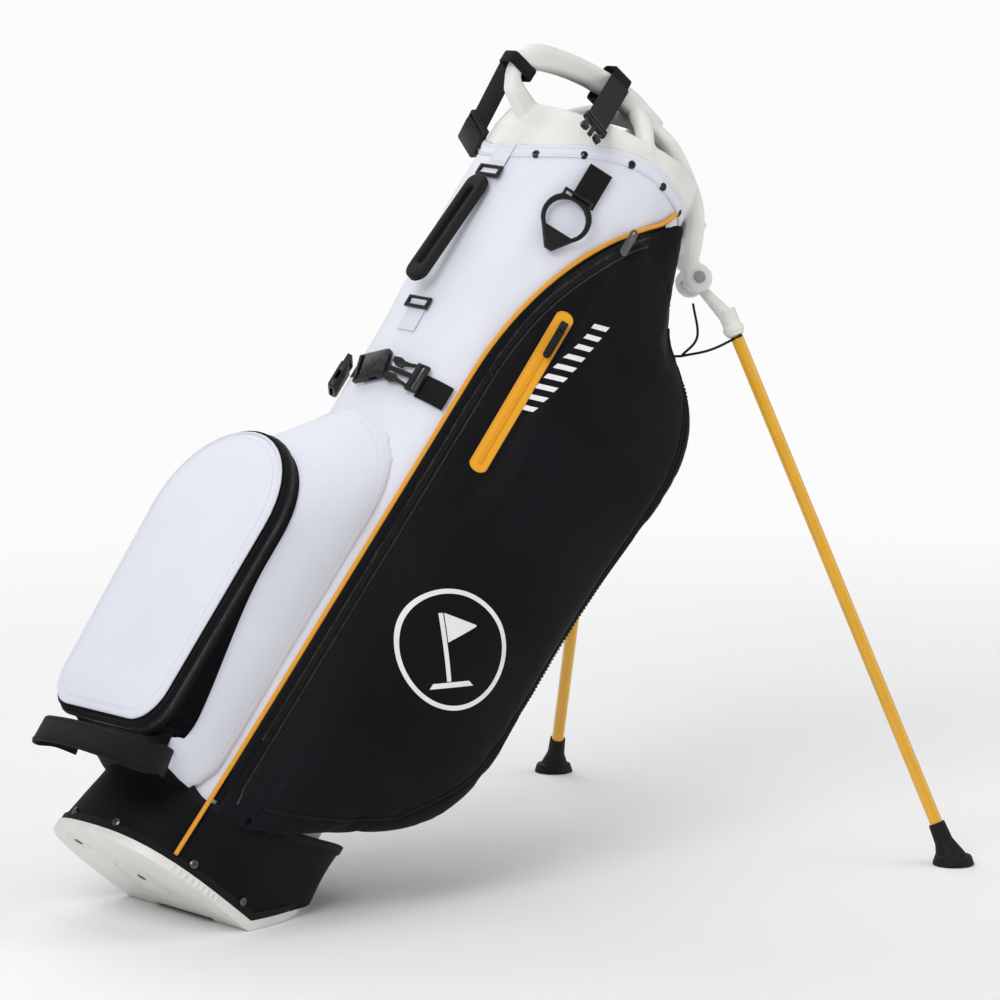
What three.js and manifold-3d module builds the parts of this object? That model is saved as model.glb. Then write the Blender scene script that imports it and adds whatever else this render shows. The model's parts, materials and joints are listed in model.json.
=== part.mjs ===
// A leaning golf stand bag: a soft tube with pockets on a moulded base, and two folding legs.
// Millimetres, +Z up. The heel ridge of the base lies on the floor along Y, and the bag leans towards +X.
// Bag parts are built in the bag's own frame (X from front to spine, Z up its axis), then leaned over.
import * as THREE from 'three';
import { mergeVertices } from 'three/addons/utils/BufferGeometryUtils.js';
import { RoundedBoxGeometry } from 'three/addons/geometries/RoundedBoxGeometry.js';
import Module from 'manifold-3d';

const wasm = await Module();
wasm.setup();

// ---------------------------------------------------------------- driving dimensions
const LEAN = THREE.MathUtils.degToRad(39); // lean of the bag's axis from upright
const GAP = 0.4; // clearance between neighbouring pieces
const TUBE_X = -36; // the tube's axis, in front of the heel ridge
const TUBE_R = 100;
const WALL = 3.5; // foam and fabric wall of the tube
const WEBBING = 25; // width of the one-inch webbing
const WEBBING_T = 1.8;

const BASE = { halfX: 114, halfY: 99, power: 2.8, rim: 9, inside: 18 };
const KICK = { halfWidth: 44, length: 66, thickness: 5, lift: 1, barrel: 6.2, pin: 3, pinRise: 8 };
const BOOT_TOP = 95;
const BOOT_BULGE = 28;
const BOOT_RISE = 34;

// The sleeve's edge is level behind the tube's axis and falls away in a parabola in front of it.
// The rim is higher on the spine side: its height is at the tube's axis, its slope is rise per mm of X.
const MOUTH = { edge: 845, fall: 0.0045, rim: 868, rimSlope: 0.2, flareFrom: 560, flare: 0.1 };
const FLARE_LENGTH = 180;

const FRONT_POCKET = { half: 92, bottom: 96, top: 402, face: 210, corner: 34 };
const SIDE_POCKET = { lobeInside: 100, outside: 152, back: 147 };

// Legs: pivot in the bag's frame, the rest in the world frame, all for the near side (-Y).
const PIVOT = new THREE.Vector3(95, -60, 808);
const LEG_TOP = new THREE.Vector3(608, -95, 514);
const LEG_FOOT = new THREE.Vector3(710, -306, 0);
const LEG_R = 6.4;
const FOOT_R = 21;
const PIVOT_SCREW_R = 3;

const ROD = { x: 40, halfGap: 20, radius: 2.5, bottom: 44.6, top: 780 };

// ---------------------------------------------------------------- materials
const surface = (color, roughness, metalness = 0) => () =>
  new THREE.MeshStandardMaterial({ color, roughness, metalness });
const whiteFabric = surface(0xdfe2ec, 0.75);
const whitePlastic = surface(0xe6e5e0, 0.45);
const blackFabric = surface(0x16161a, 0.85);
const blackPlastic = surface(0x1b1b1d, 0.45);
const blackRubber = surface(0x131313, 0.7);
const orangeTrim = surface(0xeb9f2e, 0.5);
const yellowPaint = surface(0xf2a91c, 0.25);
const steel = surface(0x8d9094, 0.35, 1);

// ---------------------------------------------------------------- solids
function solid(geometry) {
  const bare = geometry.clone();
  bare.deleteAttribute('normal');
  bare.deleteAttribute('uv');
  const merged = mergeVertices(bare, 1e-3);
  return new wasm.Manifold(
    new wasm.Mesh({
      numProp: 3,
      vertProperties: merged.attributes.position.array,
      triVerts: new Uint32Array(merged.index.array),
    }),
  );
}

// Booleans leave slivers, which a tolerance well under the gaps removes.
const SLIVER = 0.2;
function fromSolid(body) {
  const mesh = body.simplify(SLIVER).getMesh();
  const geometry = new THREE.BufferGeometry();
  geometry.setAttribute('position', new THREE.BufferAttribute(mesh.vertProperties, 3));
  geometry.setIndex(new THREE.BufferAttribute(mesh.triVerts, 1));
  geometry.computeVertexNormals();
  return geometry;
}

const union = (first, ...others) =>
  fromSolid(others.reduce((body, next) => body.add(solid(next)), solid(first)));
const cut = (first, ...others) =>
  fromSolid(others.reduce((body, next) => body.subtract(solid(next)), solid(first)));
const common = (first, second) => fromSolid(solid(first).intersect(solid(second)));

const bag = new THREE.Group();
bag.rotation.y = LEAN;
bag.updateMatrixWorld(true);
const world = new THREE.Group();
const object = new THREE.Group();
object.add(bag, world);

function piece(name, geometry, material, parent = bag) {
  const mesh = new THREE.Mesh(geometry, material());
  mesh.name = name;
  parent.add(mesh);
  return mesh;
}

// Moves every vertex of a geometry by a function of its position.
function warp(geometry, move) {
  const position = geometry.getAttribute('position');
  const point = new THREE.Vector3();
  for (let i = 0; i < position.count; i += 1) {
    point.fromBufferAttribute(position, i);
    move(point);
    position.setXYZ(i, point.x, point.y, point.z);
  }
  return geometry;
}

// Mirrors a geometry across the bag's middle plane and turns its faces back outwards.
function mirrored(geometry) {
  const bare = geometry.clone();
  bare.deleteAttribute('normal');
  bare.deleteAttribute('uv');
  const copy = mergeVertices(bare, 1e-3);
  copy.scale(1, -1, 1);
  const index = copy.getIndex();
  for (let i = 0; i < index.count; i += 3) {
    const first = index.getX(i);
    index.setX(i, index.getX(i + 1));
    index.setX(i + 1, first);
  }
  return copy;
}

const box = (x0, x1, y0, y1, z0, z1) =>
  new THREE.BoxGeometry(x1 - x0, y1 - y0, z1 - z0).translate(
    (x0 + x1) / 2,
    (y0 + y1) / 2,
    (z0 + z1) / 2,
  );

// A round bar between two points, with its own radius at each end.
function bar(from, to, radius, endRadius = radius, sides = 16) {
  const along = to.clone().sub(from);
  const turn = new THREE.Quaternion().setFromUnitVectors(
    new THREE.Vector3(0, 1, 0),
    along.clone().normalize(),
  );
  return new THREE.CylinderGeometry(endRadius, radius, along.length(), sides)
    .applyQuaternion(turn)
    .translate(...from.clone().add(to).multiplyScalar(0.5).toArray());
}

const circle = (radius) => new THREE.Shape().absarc(0, 0, radius, 0, 2 * Math.PI);

// A round cord along a smooth curve through points.
function cord(points, radius, steps = 40, sides = 8) {
  const path = new THREE.CatmullRomCurve3(points);
  const options = { steps, extrudePath: path, curveSegments: sides };
  return new THREE.ExtrudeGeometry(circle(radius), options);
}

const extruded = (shape, depth) => new THREE.ExtrudeGeometry(shape, { depth, bevelEnabled: false });

// A plate: a shape drawn in X and Z, extruded evenly to both sides of Y = 0.
const plateXZ = (shape, width, bevel = 0, curveSegments = 6) =>
  new THREE.ExtrudeGeometry(shape, {
    depth: width - 2 * bevel,
    bevelEnabled: bevel > 0,
    bevelThickness: bevel,
    bevelSize: bevel,
    bevelOffset: -bevel,
    bevelSegments: 1,
    curveSegments,
  })
    .translate(0, 0, bevel - width / 2)
    .rotateX(Math.PI / 2);

// A flat strip that follows a curve drawn in a plane, as the outline of an extrusion.
function stripShape(curve, thickness, steps) {
  const points = curve.getSpacedPoints(steps);
  const side = (sign) =>
    points.map((point, i) => {
      const tangent = curve.getTangentAt(i / steps);
      const offset = (sign * thickness) / 2;
      return new THREE.Vector2(point.x - tangent.y * offset, point.y + tangent.x * offset);
    });
  return new THREE.Shape([...side(1), ...side(-1).reverse()]);
}

// ---------------------------------------------------------------- base
const ovalRadius = (angle, halfX, halfY, power) =>
  ((Math.abs(Math.cos(angle)) / halfX) ** power + (Math.abs(Math.sin(angle)) / halfY) ** power) **
  (-1 / power);

function baseOutline(inset) {
  const count = 48;
  const { halfX, halfY, power } = BASE;
  const corner = (_, i) => {
    const angle = (2 * Math.PI * i) / count;
    const radius = ovalRadius(angle, halfX - inset, halfY - inset, power);
    return new THREE.Vector2(TUBE_X + radius * Math.cos(angle), radius * Math.sin(angle));
  };
  return new THREE.Shape(Array.from({ length: count }, corner));
}

// The region between two heights above the sole, which bends up along the floor behind the ridge.
function heelBand(low, high) {
  const reach = 200;
  const rise = Math.tan(LEAN);
  const shape = new THREE.Shape();
  const bend = (height) => -height * Math.tan(LEAN / 2);
  const lift = (height) => height / Math.cos(LEAN);
  shape.moveTo(-reach, low);
  shape.lineTo(bend(low), low);
  shape.lineTo(reach, reach * rise + lift(low));
  shape.lineTo(reach, reach * rise + lift(high));
  shape.lineTo(bend(high), high);
  shape.lineTo(-reach, high);
  return plateXZ(shape, 2 * reach);
}

const basePrism = (inset) => extruded(baseOutline(inset), 160).translate(0, 0, -5);

// The frame of the heel: X runs up the heel facet from the ridge, Z is square to it.
const onHeel = (geometry) => geometry.rotateY(-LEAN);
const alongY = (x, z, radius, halfLength, sides = 24) =>
  new THREE.CylinderGeometry(radius, radius, 2 * halfLength, sides).translate(x, 0, z);

// ---------------------------------------------------------------- tube and boot
const smooth = (value) => {
  const t = THREE.MathUtils.clamp(value, 0, 1);
  return t * t * (3 - 2 * t);
};

// Height of a level between the sleeve's edge (0) and the collar's rim (1), at a place along X.
const mouthHeight = (level, x) => {
  const behind = x - TUBE_X;
  const edge = MOUTH.edge - MOUTH.fall * Math.min(0, behind) ** 2;
  return THREE.MathUtils.lerp(edge, MOUTH.rim + MOUTH.rimSlope * behind, level);
};
const flareAt = (z) => 1 + MOUTH.flare * smooth((z - MOUTH.flareFrom) / FLARE_LENGTH);
const frontStretch = (x, amount) => (x < 0 ? x * amount : x);

// A closed ring turned about the tube's axis from a profile of [radius, height] points.
const turned = (profile, sides = 36) =>
  new THREE.LatheGeometry(
    [...profile, profile[0]].map(([radius, z]) => new THREE.Vector2(radius, z)),
    sides,
  ).rotateX(Math.PI / 2);

// Collar profiles use the level (0 to 1) as height, scaled by 100 so that triangles stay sound.
const LEVEL = 100;
const collarRing = (profile) =>
  warp(turned(profile.map(([radius, level]) => [radius, level * LEVEL])), (vertex) => {
    vertex.x = TUBE_X + frontStretch(vertex.x, 1 + MOUTH.flare);
    vertex.z = mouthHeight(vertex.z / LEVEL, vertex.x);
  });

// The tube's plan is round. It spreads at the foot to the base's outline and flares forwards at the mouth.
const BOOT_R = TUBE_R + 4.5;
const footScale = (angle, z) => {
  const bottom = ovalRadius(angle, BASE.halfX - 2, BASE.halfY - 2, BASE.power);
  return THREE.MathUtils.lerp(bottom / BOOT_R, 1, smooth(z / BOOT_TOP));
};
const tubeForm = (geometry) =>
  warp(geometry, (vertex) => {
    const scale = footScale(Math.atan2(vertex.y, vertex.x), vertex.z);
    vertex.x = TUBE_X + frontStretch(vertex.x, flareAt(vertex.z)) * scale;
    vertex.y *= scale;
  });
const bootLevels = [0, 30, 60, BOOT_TOP];
const sleeveLevels = [...bootLevels, 560, 620, 680, 750];
const SLOPE_FROM = 750;
const SLEEVE_TOP = 800;
const wallAt = (radius, levels) => levels.map((z) => [radius, z]);
// The sleeve's top edge follows the slope of the mouth, just under the collar's flange.
const sleeveForm = (geometry, gap) =>
  warp(tubeForm(geometry), (vertex) => {
    const slope = smooth((vertex.z - SLOPE_FROM) / (SLEEVE_TOP - SLOPE_FROM));
    vertex.z += slope * (mouthHeight(0, vertex.x) - gap - SLEEVE_TOP);
  });
const sleeveWall = [...sleeveLevels, SLEEVE_TOP];
const sleeveRing = sleeveForm(
  turned([...wallAt(TUBE_R, sleeveWall), ...wallAt(TUBE_R - WALL, sleeveWall).reverse()]),
  GAP,
);
const tubeSolid = (grow) =>
  sleeveForm(turned([[0, 0], ...wallAt(TUBE_R + grow, sleeveWall), [0, SLEEVE_TOP]]), 0);
piece('body_sleeve', cut(sleeveRing, heelBand(-100, BASE.inside + GAP)), whiteFabric);

// The boot covers the foot of the tube.
const bootWall = 3.2;
// Behind the tube the boot is loose: it stands higher and bulges over the kick mechanism.
const bootForm = (geometry) =>
  warp(tubeForm(geometry), (vertex) => {
    const back = smooth((vertex.x - TUBE_X) / TUBE_R);
    const share = THREE.MathUtils.clamp(vertex.z / BOOT_TOP, 0, 1);
    vertex.x += back * BOOT_BULGE * Math.sin(Math.PI * share ** 1.6);
    vertex.z += back * share * BOOT_RISE;
  });
const bootRing = bootForm(
  turned([...wallAt(BOOT_R, bootLevels), ...wallAt(BOOT_R - bootWall, bootLevels).reverse()]),
);
piece('boot', cut(bootRing, heelBand(-100, BASE.rim + GAP)), blackFabric);

// ---------------------------------------------------------------- base and kick plate
const pinX = -KICK.pinRise * Math.tan(LEAN / 2);
const pinReach = KICK.halfWidth + 8;
const kickWindow = onHeel(
  box(2, KICK.length + 4.5, -KICK.halfWidth - 1.5, KICK.halfWidth + 1.5, -10, 60),
);
const insideR = BOOT_R - bootWall - 1.2;
const insideBoot = tubeForm(turned([[0, 0], ...wallAt(insideR, bootLevels), [0, BOOT_TOP]]));
const baseCup = cut(
  union(
    common(basePrism(0), heelBand(0, BASE.rim)),
    common(insideBoot, heelBand(1, BASE.inside)),
  ),
  kickWindow,
  alongY(pinX, KICK.pinRise, KICK.barrel + 2.4, KICK.halfWidth + 1.5),
  alongY(pinX, KICK.pinRise, KICK.pin + GAP, pinReach + 1),
);
piece('base_cup', baseCup, whitePlastic);

const kickPlate = union(
  onHeel(box(3, KICK.length, -KICK.halfWidth, KICK.halfWidth, KICK.lift, KICK.lift + KICK.thickness)),
  alongY(pinX, KICK.pinRise, KICK.barrel, KICK.halfWidth),
  alongY(pinX, KICK.pinRise, KICK.pin, pinReach),
);
piece('kick_plate', kickPlate, blackPlastic);

// ---------------------------------------------------------------- places on the tube
// A point on the tube: an angle from the front (positive towards the near side), a height, a distance out.
function tubePoint(angle, z, lift = 0) {
  const turn = Math.PI + THREE.MathUtils.degToRad(angle);
  const out = (TUBE_R + lift) * footScale(turn, z);
  const x = frontStretch(out * Math.cos(turn), flareAt(z));
  return new THREE.Vector3(TUBE_X + x, out * Math.sin(turn), z);
}

// Puts a geometry on the tube: it is built with Z up the bag, X out of the fabric, -Y to the near side.
function onTube(geometry, angle, z, lift = 0) {
  const turn = Math.PI + THREE.MathUtils.degToRad(angle);
  return geometry.rotateZ(turn).translate(...tubePoint(angle, z, lift).toArray());
}

// ---------------------------------------------------------------- collar, handle and spine bracket
// The collar's skirt sits inside the sleeve; its flange and rim stand above the sleeve's top edge.
const COLLAR = {
  flange: TUBE_R + 0.6,
  rim: TUBE_R - 2.5,
  skirt: TUBE_R - WALL - GAP,
  mouth: TUBE_R - 8.5,
};
const SKIRT_LEVEL = -0.7;
const collar = collarRing([
  [COLLAR.flange, 0],
  [COLLAR.flange, 0.5],
  [COLLAR.rim, 0.86],
  [COLLAR.rim - 1, 1],
  [COLLAR.mouth, 1],
  [COLLAR.mouth, SKIRT_LEVEL],
  [COLLAR.skirt, SKIRT_LEVEL],
  [COLLAR.skirt, 0],
]);
const mouthSpace = collarRing([[0, -1], [COLLAR.mouth, -1], [COLLAR.mouth, 0.99], [0, 0.99]]);

// The carrying arch rises from the front of the rim and runs back over the mouth.
const ARCH_WIDTH = 16;
const archShape = new THREE.Shape();
archShape.moveTo(-136, 848);
archShape.lineTo(-160, 852);
archShape.quadraticCurveTo(-189, 856, -153, 877);
archShape.bezierCurveTo(-124, 893, -80, 909, -30, 910);
archShape.lineTo(6, 907);
archShape.lineTo(6, 934);
archShape.lineTo(-40, 936);
archShape.bezierCurveTo(-90, 930, -124, 919, -158, 904);
archShape.bezierCurveTo(-186, 892, -202, 868, -176, 836);
archShape.lineTo(-150, 826);
archShape.lineTo(-136, 832);

// Struts run from the back of the arch: one down to the side of the rim, one over the spine's corner.
const point = (x, y, z) => new THREE.Vector3(x, y, z);
const STRUT_R = 10;
const rimPath = [point(-14, -2, 918), point(-44, -28, 906), point(-58, -66, 882), point(-58, -94, 848)];
const spinePath = [
  point(-8, -2, 918),
  point(4, -33, 904),
  point(24, -52, 884),
  point(49, -62, 862),
  point(66, -63, 838),
  point(80, -61, 808),
];
const rimStrut = cord(rimPath, STRUT_R, 10, 4);
const spineStrut = cord(spinePath, STRUT_R + 0.5, 14, 4);

// The hinge turns about a level axis that is square to both the open and the folded leg.
const toBag = (vector) => vector.clone().applyAxisAngle(new THREE.Vector3(0, 1, 0), -LEAN);
const openLeg = toBag(LEG_FOOT.clone().sub(LEG_TOP)).normalize();
const upBag = new THREE.Vector3(0, 0, 1);
const hingeAxis = upBag.clone().cross(openLeg).normalize();
const hingeOut = hingeAxis.clone().cross(upBag).normalize();
const hingeFrame = new THREE.Matrix4().makeBasis(hingeOut, hingeAxis, upBag).setPosition(PIVOT);
// A disc or pin on the hinge axis, in the bag's frame.
const onHinge = (radius, length, along = 0, sides = 20) =>
  new THREE.CylinderGeometry(radius, radius, length, sides)
    .translate(0, along, 0)
    .applyMatrix4(hingeFrame);

const BOSS = { radius: 15, halfLength: 17 };
const EYE = { radius: 11, half: 7 };
const EYE_ROOM = 1.5;
const slotHalf = EYE.half + GAP;
const bossSolid = onHinge(BOSS.radius, 2 * BOSS.halfLength);
const eyeSlot = onHinge(EYE.radius + EYE_ROOM, 2 * slotHalf);
const swingSlot = box(-10, 45, -slotHalf, slotHalf, -45, 3).applyMatrix4(hingeFrame);
const screwBore = onHinge(PIVOT_SCREW_R + GAP, 2 * BOSS.halfLength + 4, 0, 12);
// A bridge across the spine ties both struts together above the hinges.
const bridge = box(58, 74, -62, 62, 816, 862);

const halfBracket = [rimStrut, spineStrut, bossSolid];
const bracket = union(
  plateXZ(archShape, ARCH_WIDTH, 4),
  bridge,
  ...halfBracket,
  ...halfBracket.map(mirrored),
);
const hingeCuts = [eyeSlot, swingSlot, screwBore];
const topMoulding = cut(
  union(cut(bracket, tubeSolid(GAP), mouthSpace), collar),
  ...hingeCuts,
  ...hingeCuts.map(mirrored),
);
piece('top_moulding', topMoulding, whitePlastic);

// ---------------------------------------------------------------- legs
const inBag = (vector) => vector.clone().applyAxisAngle(new THREE.Vector3(0, 1, 0), LEAN);
const pivotWorld = inBag(PIVOT);
const legWay = LEG_FOOT.clone().sub(LEG_TOP).normalize();
const alongLeg = (from, distance) => from.clone().addScaledVector(legWay, distance);
const leaned = (geometry) => geometry.rotateY(LEAN);

// The yoke reaches from an eye on the hinge to a socket that holds the top of the leg tube.
const SOCKET = { depth: 14, back: 28, radius: 9.6, mouth: 9, ring: 11 };
const eye = leaned(onHinge(EYE.radius, 2 * EYE.half));
const yoke = cut(
  union(
    eye,
    bar(pivotWorld, alongLeg(LEG_TOP, -SOCKET.depth - 4), 4.4, 8.4),
    bar(alongLeg(LEG_TOP, -SOCKET.back), LEG_TOP, SOCKET.radius, SOCKET.mouth),
    bar(alongLeg(LEG_TOP, -10), alongLeg(LEG_TOP, -4), SOCKET.ring),
  ),
  bar(alongLeg(LEG_TOP, -SOCKET.depth), alongLeg(LEG_TOP, 60), LEG_R + GAP),
  leaned(screwBore.clone()),
);

// The foot is a round rubber pad on the floor with a sleeve that tapers up the tube.
const FOOT = { pad: 9, neck: 20, sleeve: 40, collar: 9.4 };
const TUBE_STOP = 14.5;
const atHeight = (height) => alongLeg(LEG_TOP, (LEG_TOP.z - height) / -legWay.z);
const foot = cut(
  union(
    new THREE.CylinderGeometry(FOOT_R - 3, FOOT_R, FOOT.pad, 40)
      .rotateX(Math.PI / 2)
      .translate(LEG_FOOT.x, LEG_FOOT.y, FOOT.pad / 2),
    bar(atHeight(5), atHeight(FOOT.neck + 2), 16, FOOT.collar),
    bar(atHeight(FOOT.neck), atHeight(FOOT.sleeve), FOOT.collar, FOOT.collar - 1),
  ),
  bar(atHeight(TUBE_STOP - 0.5), atHeight(90), LEG_R + GAP),
  box(0, 1000, -500, 500, -40, 0),
);
const tube = bar(alongLeg(LEG_TOP, 0.5 - SOCKET.depth), atHeight(TUBE_STOP), LEG_R);

// The screw is a pin through the boss with a wide head on its outer side.
const HEAD = { radius: 5.6, height: 2.4 };
const headAt = -BOSS.halfLength - HEAD.height / 2 - GAP;
const screw = union(
  leaned(onHinge(PIVOT_SCREW_R, 2 * BOSS.halfLength, 0, 12)),
  leaned(onHinge(HEAD.radius, HEAD.height, headAt)),
  leaned(onHinge(PIVOT_SCREW_R, 2, -BOSS.halfLength - 0.5)),
);
const legPieces = {
  leg_yoke: [yoke, whitePlastic],
  leg_tube: [tube, yellowPaint],
  foot: [foot, blackRubber],
  pivot_screw: [screw, steel],
};
for (const [name, [geometry, material]] of Object.entries(legPieces)) {
  piece(name + '_near', geometry, material, world);
  piece(name + '_far', mirrored(geometry), material, world);
}

// ---------------------------------------------------------------- rivets
const RIVET = { radius: 4.2, height: 2 };
const COLLAR_RIVETS = { angles: [0, 25, 48, 72, 95, 122], drop: 9 };
const BOOT_RIVETS = { angles: [17, 60, 97], rise: 9 };
const rivet = () =>
  new THREE.CylinderGeometry(RIVET.radius * 0.7, RIVET.radius, RIVET.height, 10).rotateZ(-Math.PI / 2);
const bothSides = (angles) => angles.flatMap((angle) => (angle === 0 ? [0] : [angle, -angle]));
bothSides(COLLAR_RIVETS.angles).forEach((angle, i) => {
  const height = mouthHeight(0, tubePoint(angle, SLEEVE_TOP).x) - COLLAR_RIVETS.drop;
  const lift = RIVET.height / 2 + GAP;
  piece(`collar_rivet_${i + 1}`, onTube(rivet(), angle, height, lift), blackPlastic);
});
bothSides(BOOT_RIVETS.angles).forEach((angle, i) => {
  const ground = tubePoint(angle, 0, BOOT_R - TUBE_R);
  const height = BASE.rim + BOOT_RIVETS.rise + Math.max(0, ground.x) * Math.tan(LEAN);
  const lift = BOOT_R - TUBE_R + RIVET.height / 2 + 1;
  piece(`boot_rivet_${i + 1}`, onTube(rivet(), angle, height, lift), steel);
});

// ---------------------------------------------------------------- piping and side pockets
// The piping as a line in X and Z: straight up the front corner, then curving back to the spine.
const pipingLine = new THREE.Path();
pipingLine.moveTo(-100, 16);
pipingLine.lineTo(-95, 560);
pipingLine.bezierCurveTo(-94, 650, -78, 735, -6, 806);
pipingLine.quadraticCurveTo(3, 815, 8, 830);
const PIPING_R = 2.2;
const angleFromFront = (x, z) =>
  THREE.MathUtils.radToDeg(Math.acos((TUBE_X - x) / (TUBE_R * (x < TUBE_X ? flareAt(z) : 1))));
const pipingPoints = pipingLine.getSpacedPoints(18).map(({ x, y: z }) => {
  const overBoot = (BOOT_R - TUBE_R) * (1 - smooth((z - BOOT_TOP - 3) / 24));
  return tubePoint(angleFromFront(x, z), z, overBoot + PIPING_R + 1.2);
});
const piping = cord(pipingPoints, PIPING_R, 36, 3);
piece('piping_near', piping, orangeTrim);
piece('piping_far', mirrored(piping), orangeTrim);

// The outer face of a side pocket swells from the piping towards the spine, and thins out at the top.
const SWELL = { edge: 84, full: 80, span: 179, power: 2.2 };
const THIN_TOP = { from: 660, over: 160, out: 108 };
const pocketOut = (x, z = 0) => {
  const short = Math.max(0, SWELL.full - x) / SWELL.span;
  const out = SIDE_POCKET.outside - (SIDE_POCKET.outside - SWELL.edge) * short ** SWELL.power;
  const thin = smooth((z - THIN_TOP.from) / THIN_TOP.over);
  return THREE.MathUtils.lerp(out, Math.min(out, THIN_TOP.out), thin);
};
const pocketIn = (x) => THREE.MathUtils.lerp(60, SIDE_POCKET.lobeInside, smooth((x + 10) / 60));

const sideOutline = new THREE.Shape();
sideOutline.moveTo(-94, 62);
sideOutline.lineTo(-90, 560);
sideOutline.bezierCurveTo(-89, 645, -74, 728, 4, 812);
sideOutline.lineTo(10, 822);
sideOutline.lineTo(20, 824);
sideOutline.bezierCurveTo(30, 800, 46, 750, 62, 718);
sideOutline.bezierCurveTo(125, 672, SIDE_POCKET.back + 3, 650, 142, 560);
sideOutline.bezierCurveTo(128, 440, 127, 400, 127, 300);
sideOutline.bezierCurveTo(127, 215, 95, 172, 52, 142);
sideOutline.lineTo(-35, 86);
sideOutline.quadraticCurveTo(-75, 60, -94, 62);

// A soft pillow with an outline in X and Z, filled on the near side between two depths.
function pillow(outline, centre, depthIn, depthOut, fullness) {
  const around = 36;
  const across = 10;
  const edge = outline.getSpacedPoints(around);
  const geometry = new THREE.SphereGeometry(1, around, across);
  const position = geometry.getAttribute('position');
  const uv = geometry.getAttribute('uv');
  for (let i = 0; i < position.count; i += 1) {
    const rise = THREE.MathUtils.clamp(position.getY(i), -1, 1);
    const spread = Math.sqrt(1 - rise * rise) ** fullness;
    const side = Math.sign(rise) * Math.abs(rise) ** fullness;
    const rim = edge[around - THREE.MathUtils.clamp(Math.round(uv.getX(i) * around), 0, around)];
    const x = centre.x + spread * (rim.x - centre.x);
    const z = centre.y + spread * (rim.y - centre.y);
    position.setXYZ(i, x, -THREE.MathUtils.lerp(depthIn(x), depthOut(x, z), (side + 1) / 2), z);
  }
  return geometry;
}
const sidePillow = pillow(sideOutline, new THREE.Vector2(10, 430), pocketIn, pocketOut, 0.5);

// A frame on the pocket's outer face: X across it, Z up the bag, Y into the pocket.
function onPocket(geometry, x, z, lift = 0) {
  const slope = Math.atan((pocketOut(x + 1) - pocketOut(x - 1)) / 2);
  return geometry
    .rotateZ(-slope)
    .translate(x - lift * Math.sin(slope), -pocketOut(x) - lift * Math.cos(slope), z);
}

const ZIP = { x: -56, low: 482, high: 664, width: 13, thickness: 3.2, sink: 2.4 };
const capsule = (width, length) => {
  const radius = width / 2;
  const half = length / 2 - radius;
  const shape = new THREE.Shape();
  shape.absarc(0, half, radius, 0, Math.PI);
  shape.absarc(0, -half, radius, Math.PI, 2 * Math.PI);
  return shape;
};
const zipLength = ZIP.high - ZIP.low;
const zipMiddle = (ZIP.low + ZIP.high) / 2;
const zipPlate = plateXZ(capsule(ZIP.width, zipLength), ZIP.thickness, 0, 6);
const zipRecess = plateXZ(capsule(ZIP.width + 2 * GAP, zipLength + 2 * GAP), 20, 0, 6);
const bootSolid = bootForm(turned([[0, 0], ...wallAt(BOOT_R + GAP, bootLevels), [0, BOOT_TOP + GAP]]));
const sidePocket = cut(sidePillow, tubeSolid(GAP), bootSolid);
piece(
  'side_pocket_near',
  cut(sidePocket, onPocket(zipRecess, ZIP.x, zipMiddle, 10 - ZIP.sink - ZIP.thickness / 2 - GAP)),
  blackFabric,
);
piece('side_pocket_far', mirrored(sidePocket), blackFabric);
piece('valuables_zip', onPocket(zipPlate, ZIP.x, zipMiddle, -ZIP.sink), orangeTrim);

// Zip sliders: a small body with a lug, and a long puller hung from the lug.
const sliderBody = () => new RoundedBoxGeometry(8, 3.4, 12, 1, 1);
const pullerShape = (length, width) => {
  const shape = capsule(width, length);
  shape.holes.push(new THREE.Path().absarc(0, length / 2 - width / 2, width / 4, 0, 2 * Math.PI, true));
  return shape;
};
const sliderHeight = ZIP.high - 16;
const faceLift = ZIP.thickness / 2 - ZIP.sink;
piece('valuables_slider', onPocket(sliderBody(), ZIP.x, sliderHeight, faceLift + 1.7 + GAP), blackPlastic);
const valuablesPuller = plateXZ(pullerShape(34, 8), 1.6, 0, 5).translate(0, 0, -19);
piece('valuables_puller', onPocket(valuablesPuller, ZIP.x, sliderHeight, faceLift + 5.4), blackPlastic);
const apparelPuller = plateXZ(pullerShape(30, 9), 1.8, 0, 5).rotateZ(-Math.PI / 2).translate(0, 0, -14);
piece('apparel_puller', onTube(apparelPuller, 88, 774, 17), steel);

// ---------------------------------------------------------------- front pocket
const frontBasis = new THREE.Matrix4().makeBasis(point(0, -1, 0), point(0, 0, 1), point(-1, 0, 0));
function archOutline(inset) {
  const { half, bottom, top, corner } = FRONT_POCKET;
  const side = half - inset;
  const low = bottom + inset;
  const round = corner - inset / 2;
  const spring = top - inset - side;
  const shape = new THREE.Shape();
  shape.moveTo(side, low + round);
  shape.absarc(0, spring, side, 0, Math.PI);
  shape.lineTo(-side, low + round);
  shape.absarc(-side + round, low + round, round, Math.PI, 1.5 * Math.PI);
  shape.absarc(side - round, low + round, round, 1.5 * Math.PI, 2 * Math.PI);
  return shape;
}
// The pocket's face narrows and leans in towards its bottom edge.
const FACE = { narrow: 0.11, leanIn: 12 };
const shareUp = (z) => (z - FRONT_POCKET.bottom) / (FRONT_POCKET.top - FRONT_POCKET.bottom);
const faceForm = (vertex) => {
  const down = 1 - shareUp(vertex.z);
  vertex.y *= 1 - FACE.narrow * down;
  vertex.x += FACE.leanIn * down;
};
const archBlock = (inset, from, to, bevel, steps = 1) =>
  new THREE.ExtrudeGeometry(archOutline(inset), {
    depth: to - from - 2 * bevel,
    steps,
    bevelEnabled: bevel > 0,
    bevelThickness: bevel,
    bevelSize: bevel,
    bevelOffset: -bevel,
    bevelSegments: 1,
    curveSegments: 6,
  })
    .translate(0, 0, from + bevel)
    .applyMatrix4(frontBasis);
const archPlate = (...sizes) => warp(archBlock(...sizes), faceForm);

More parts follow.
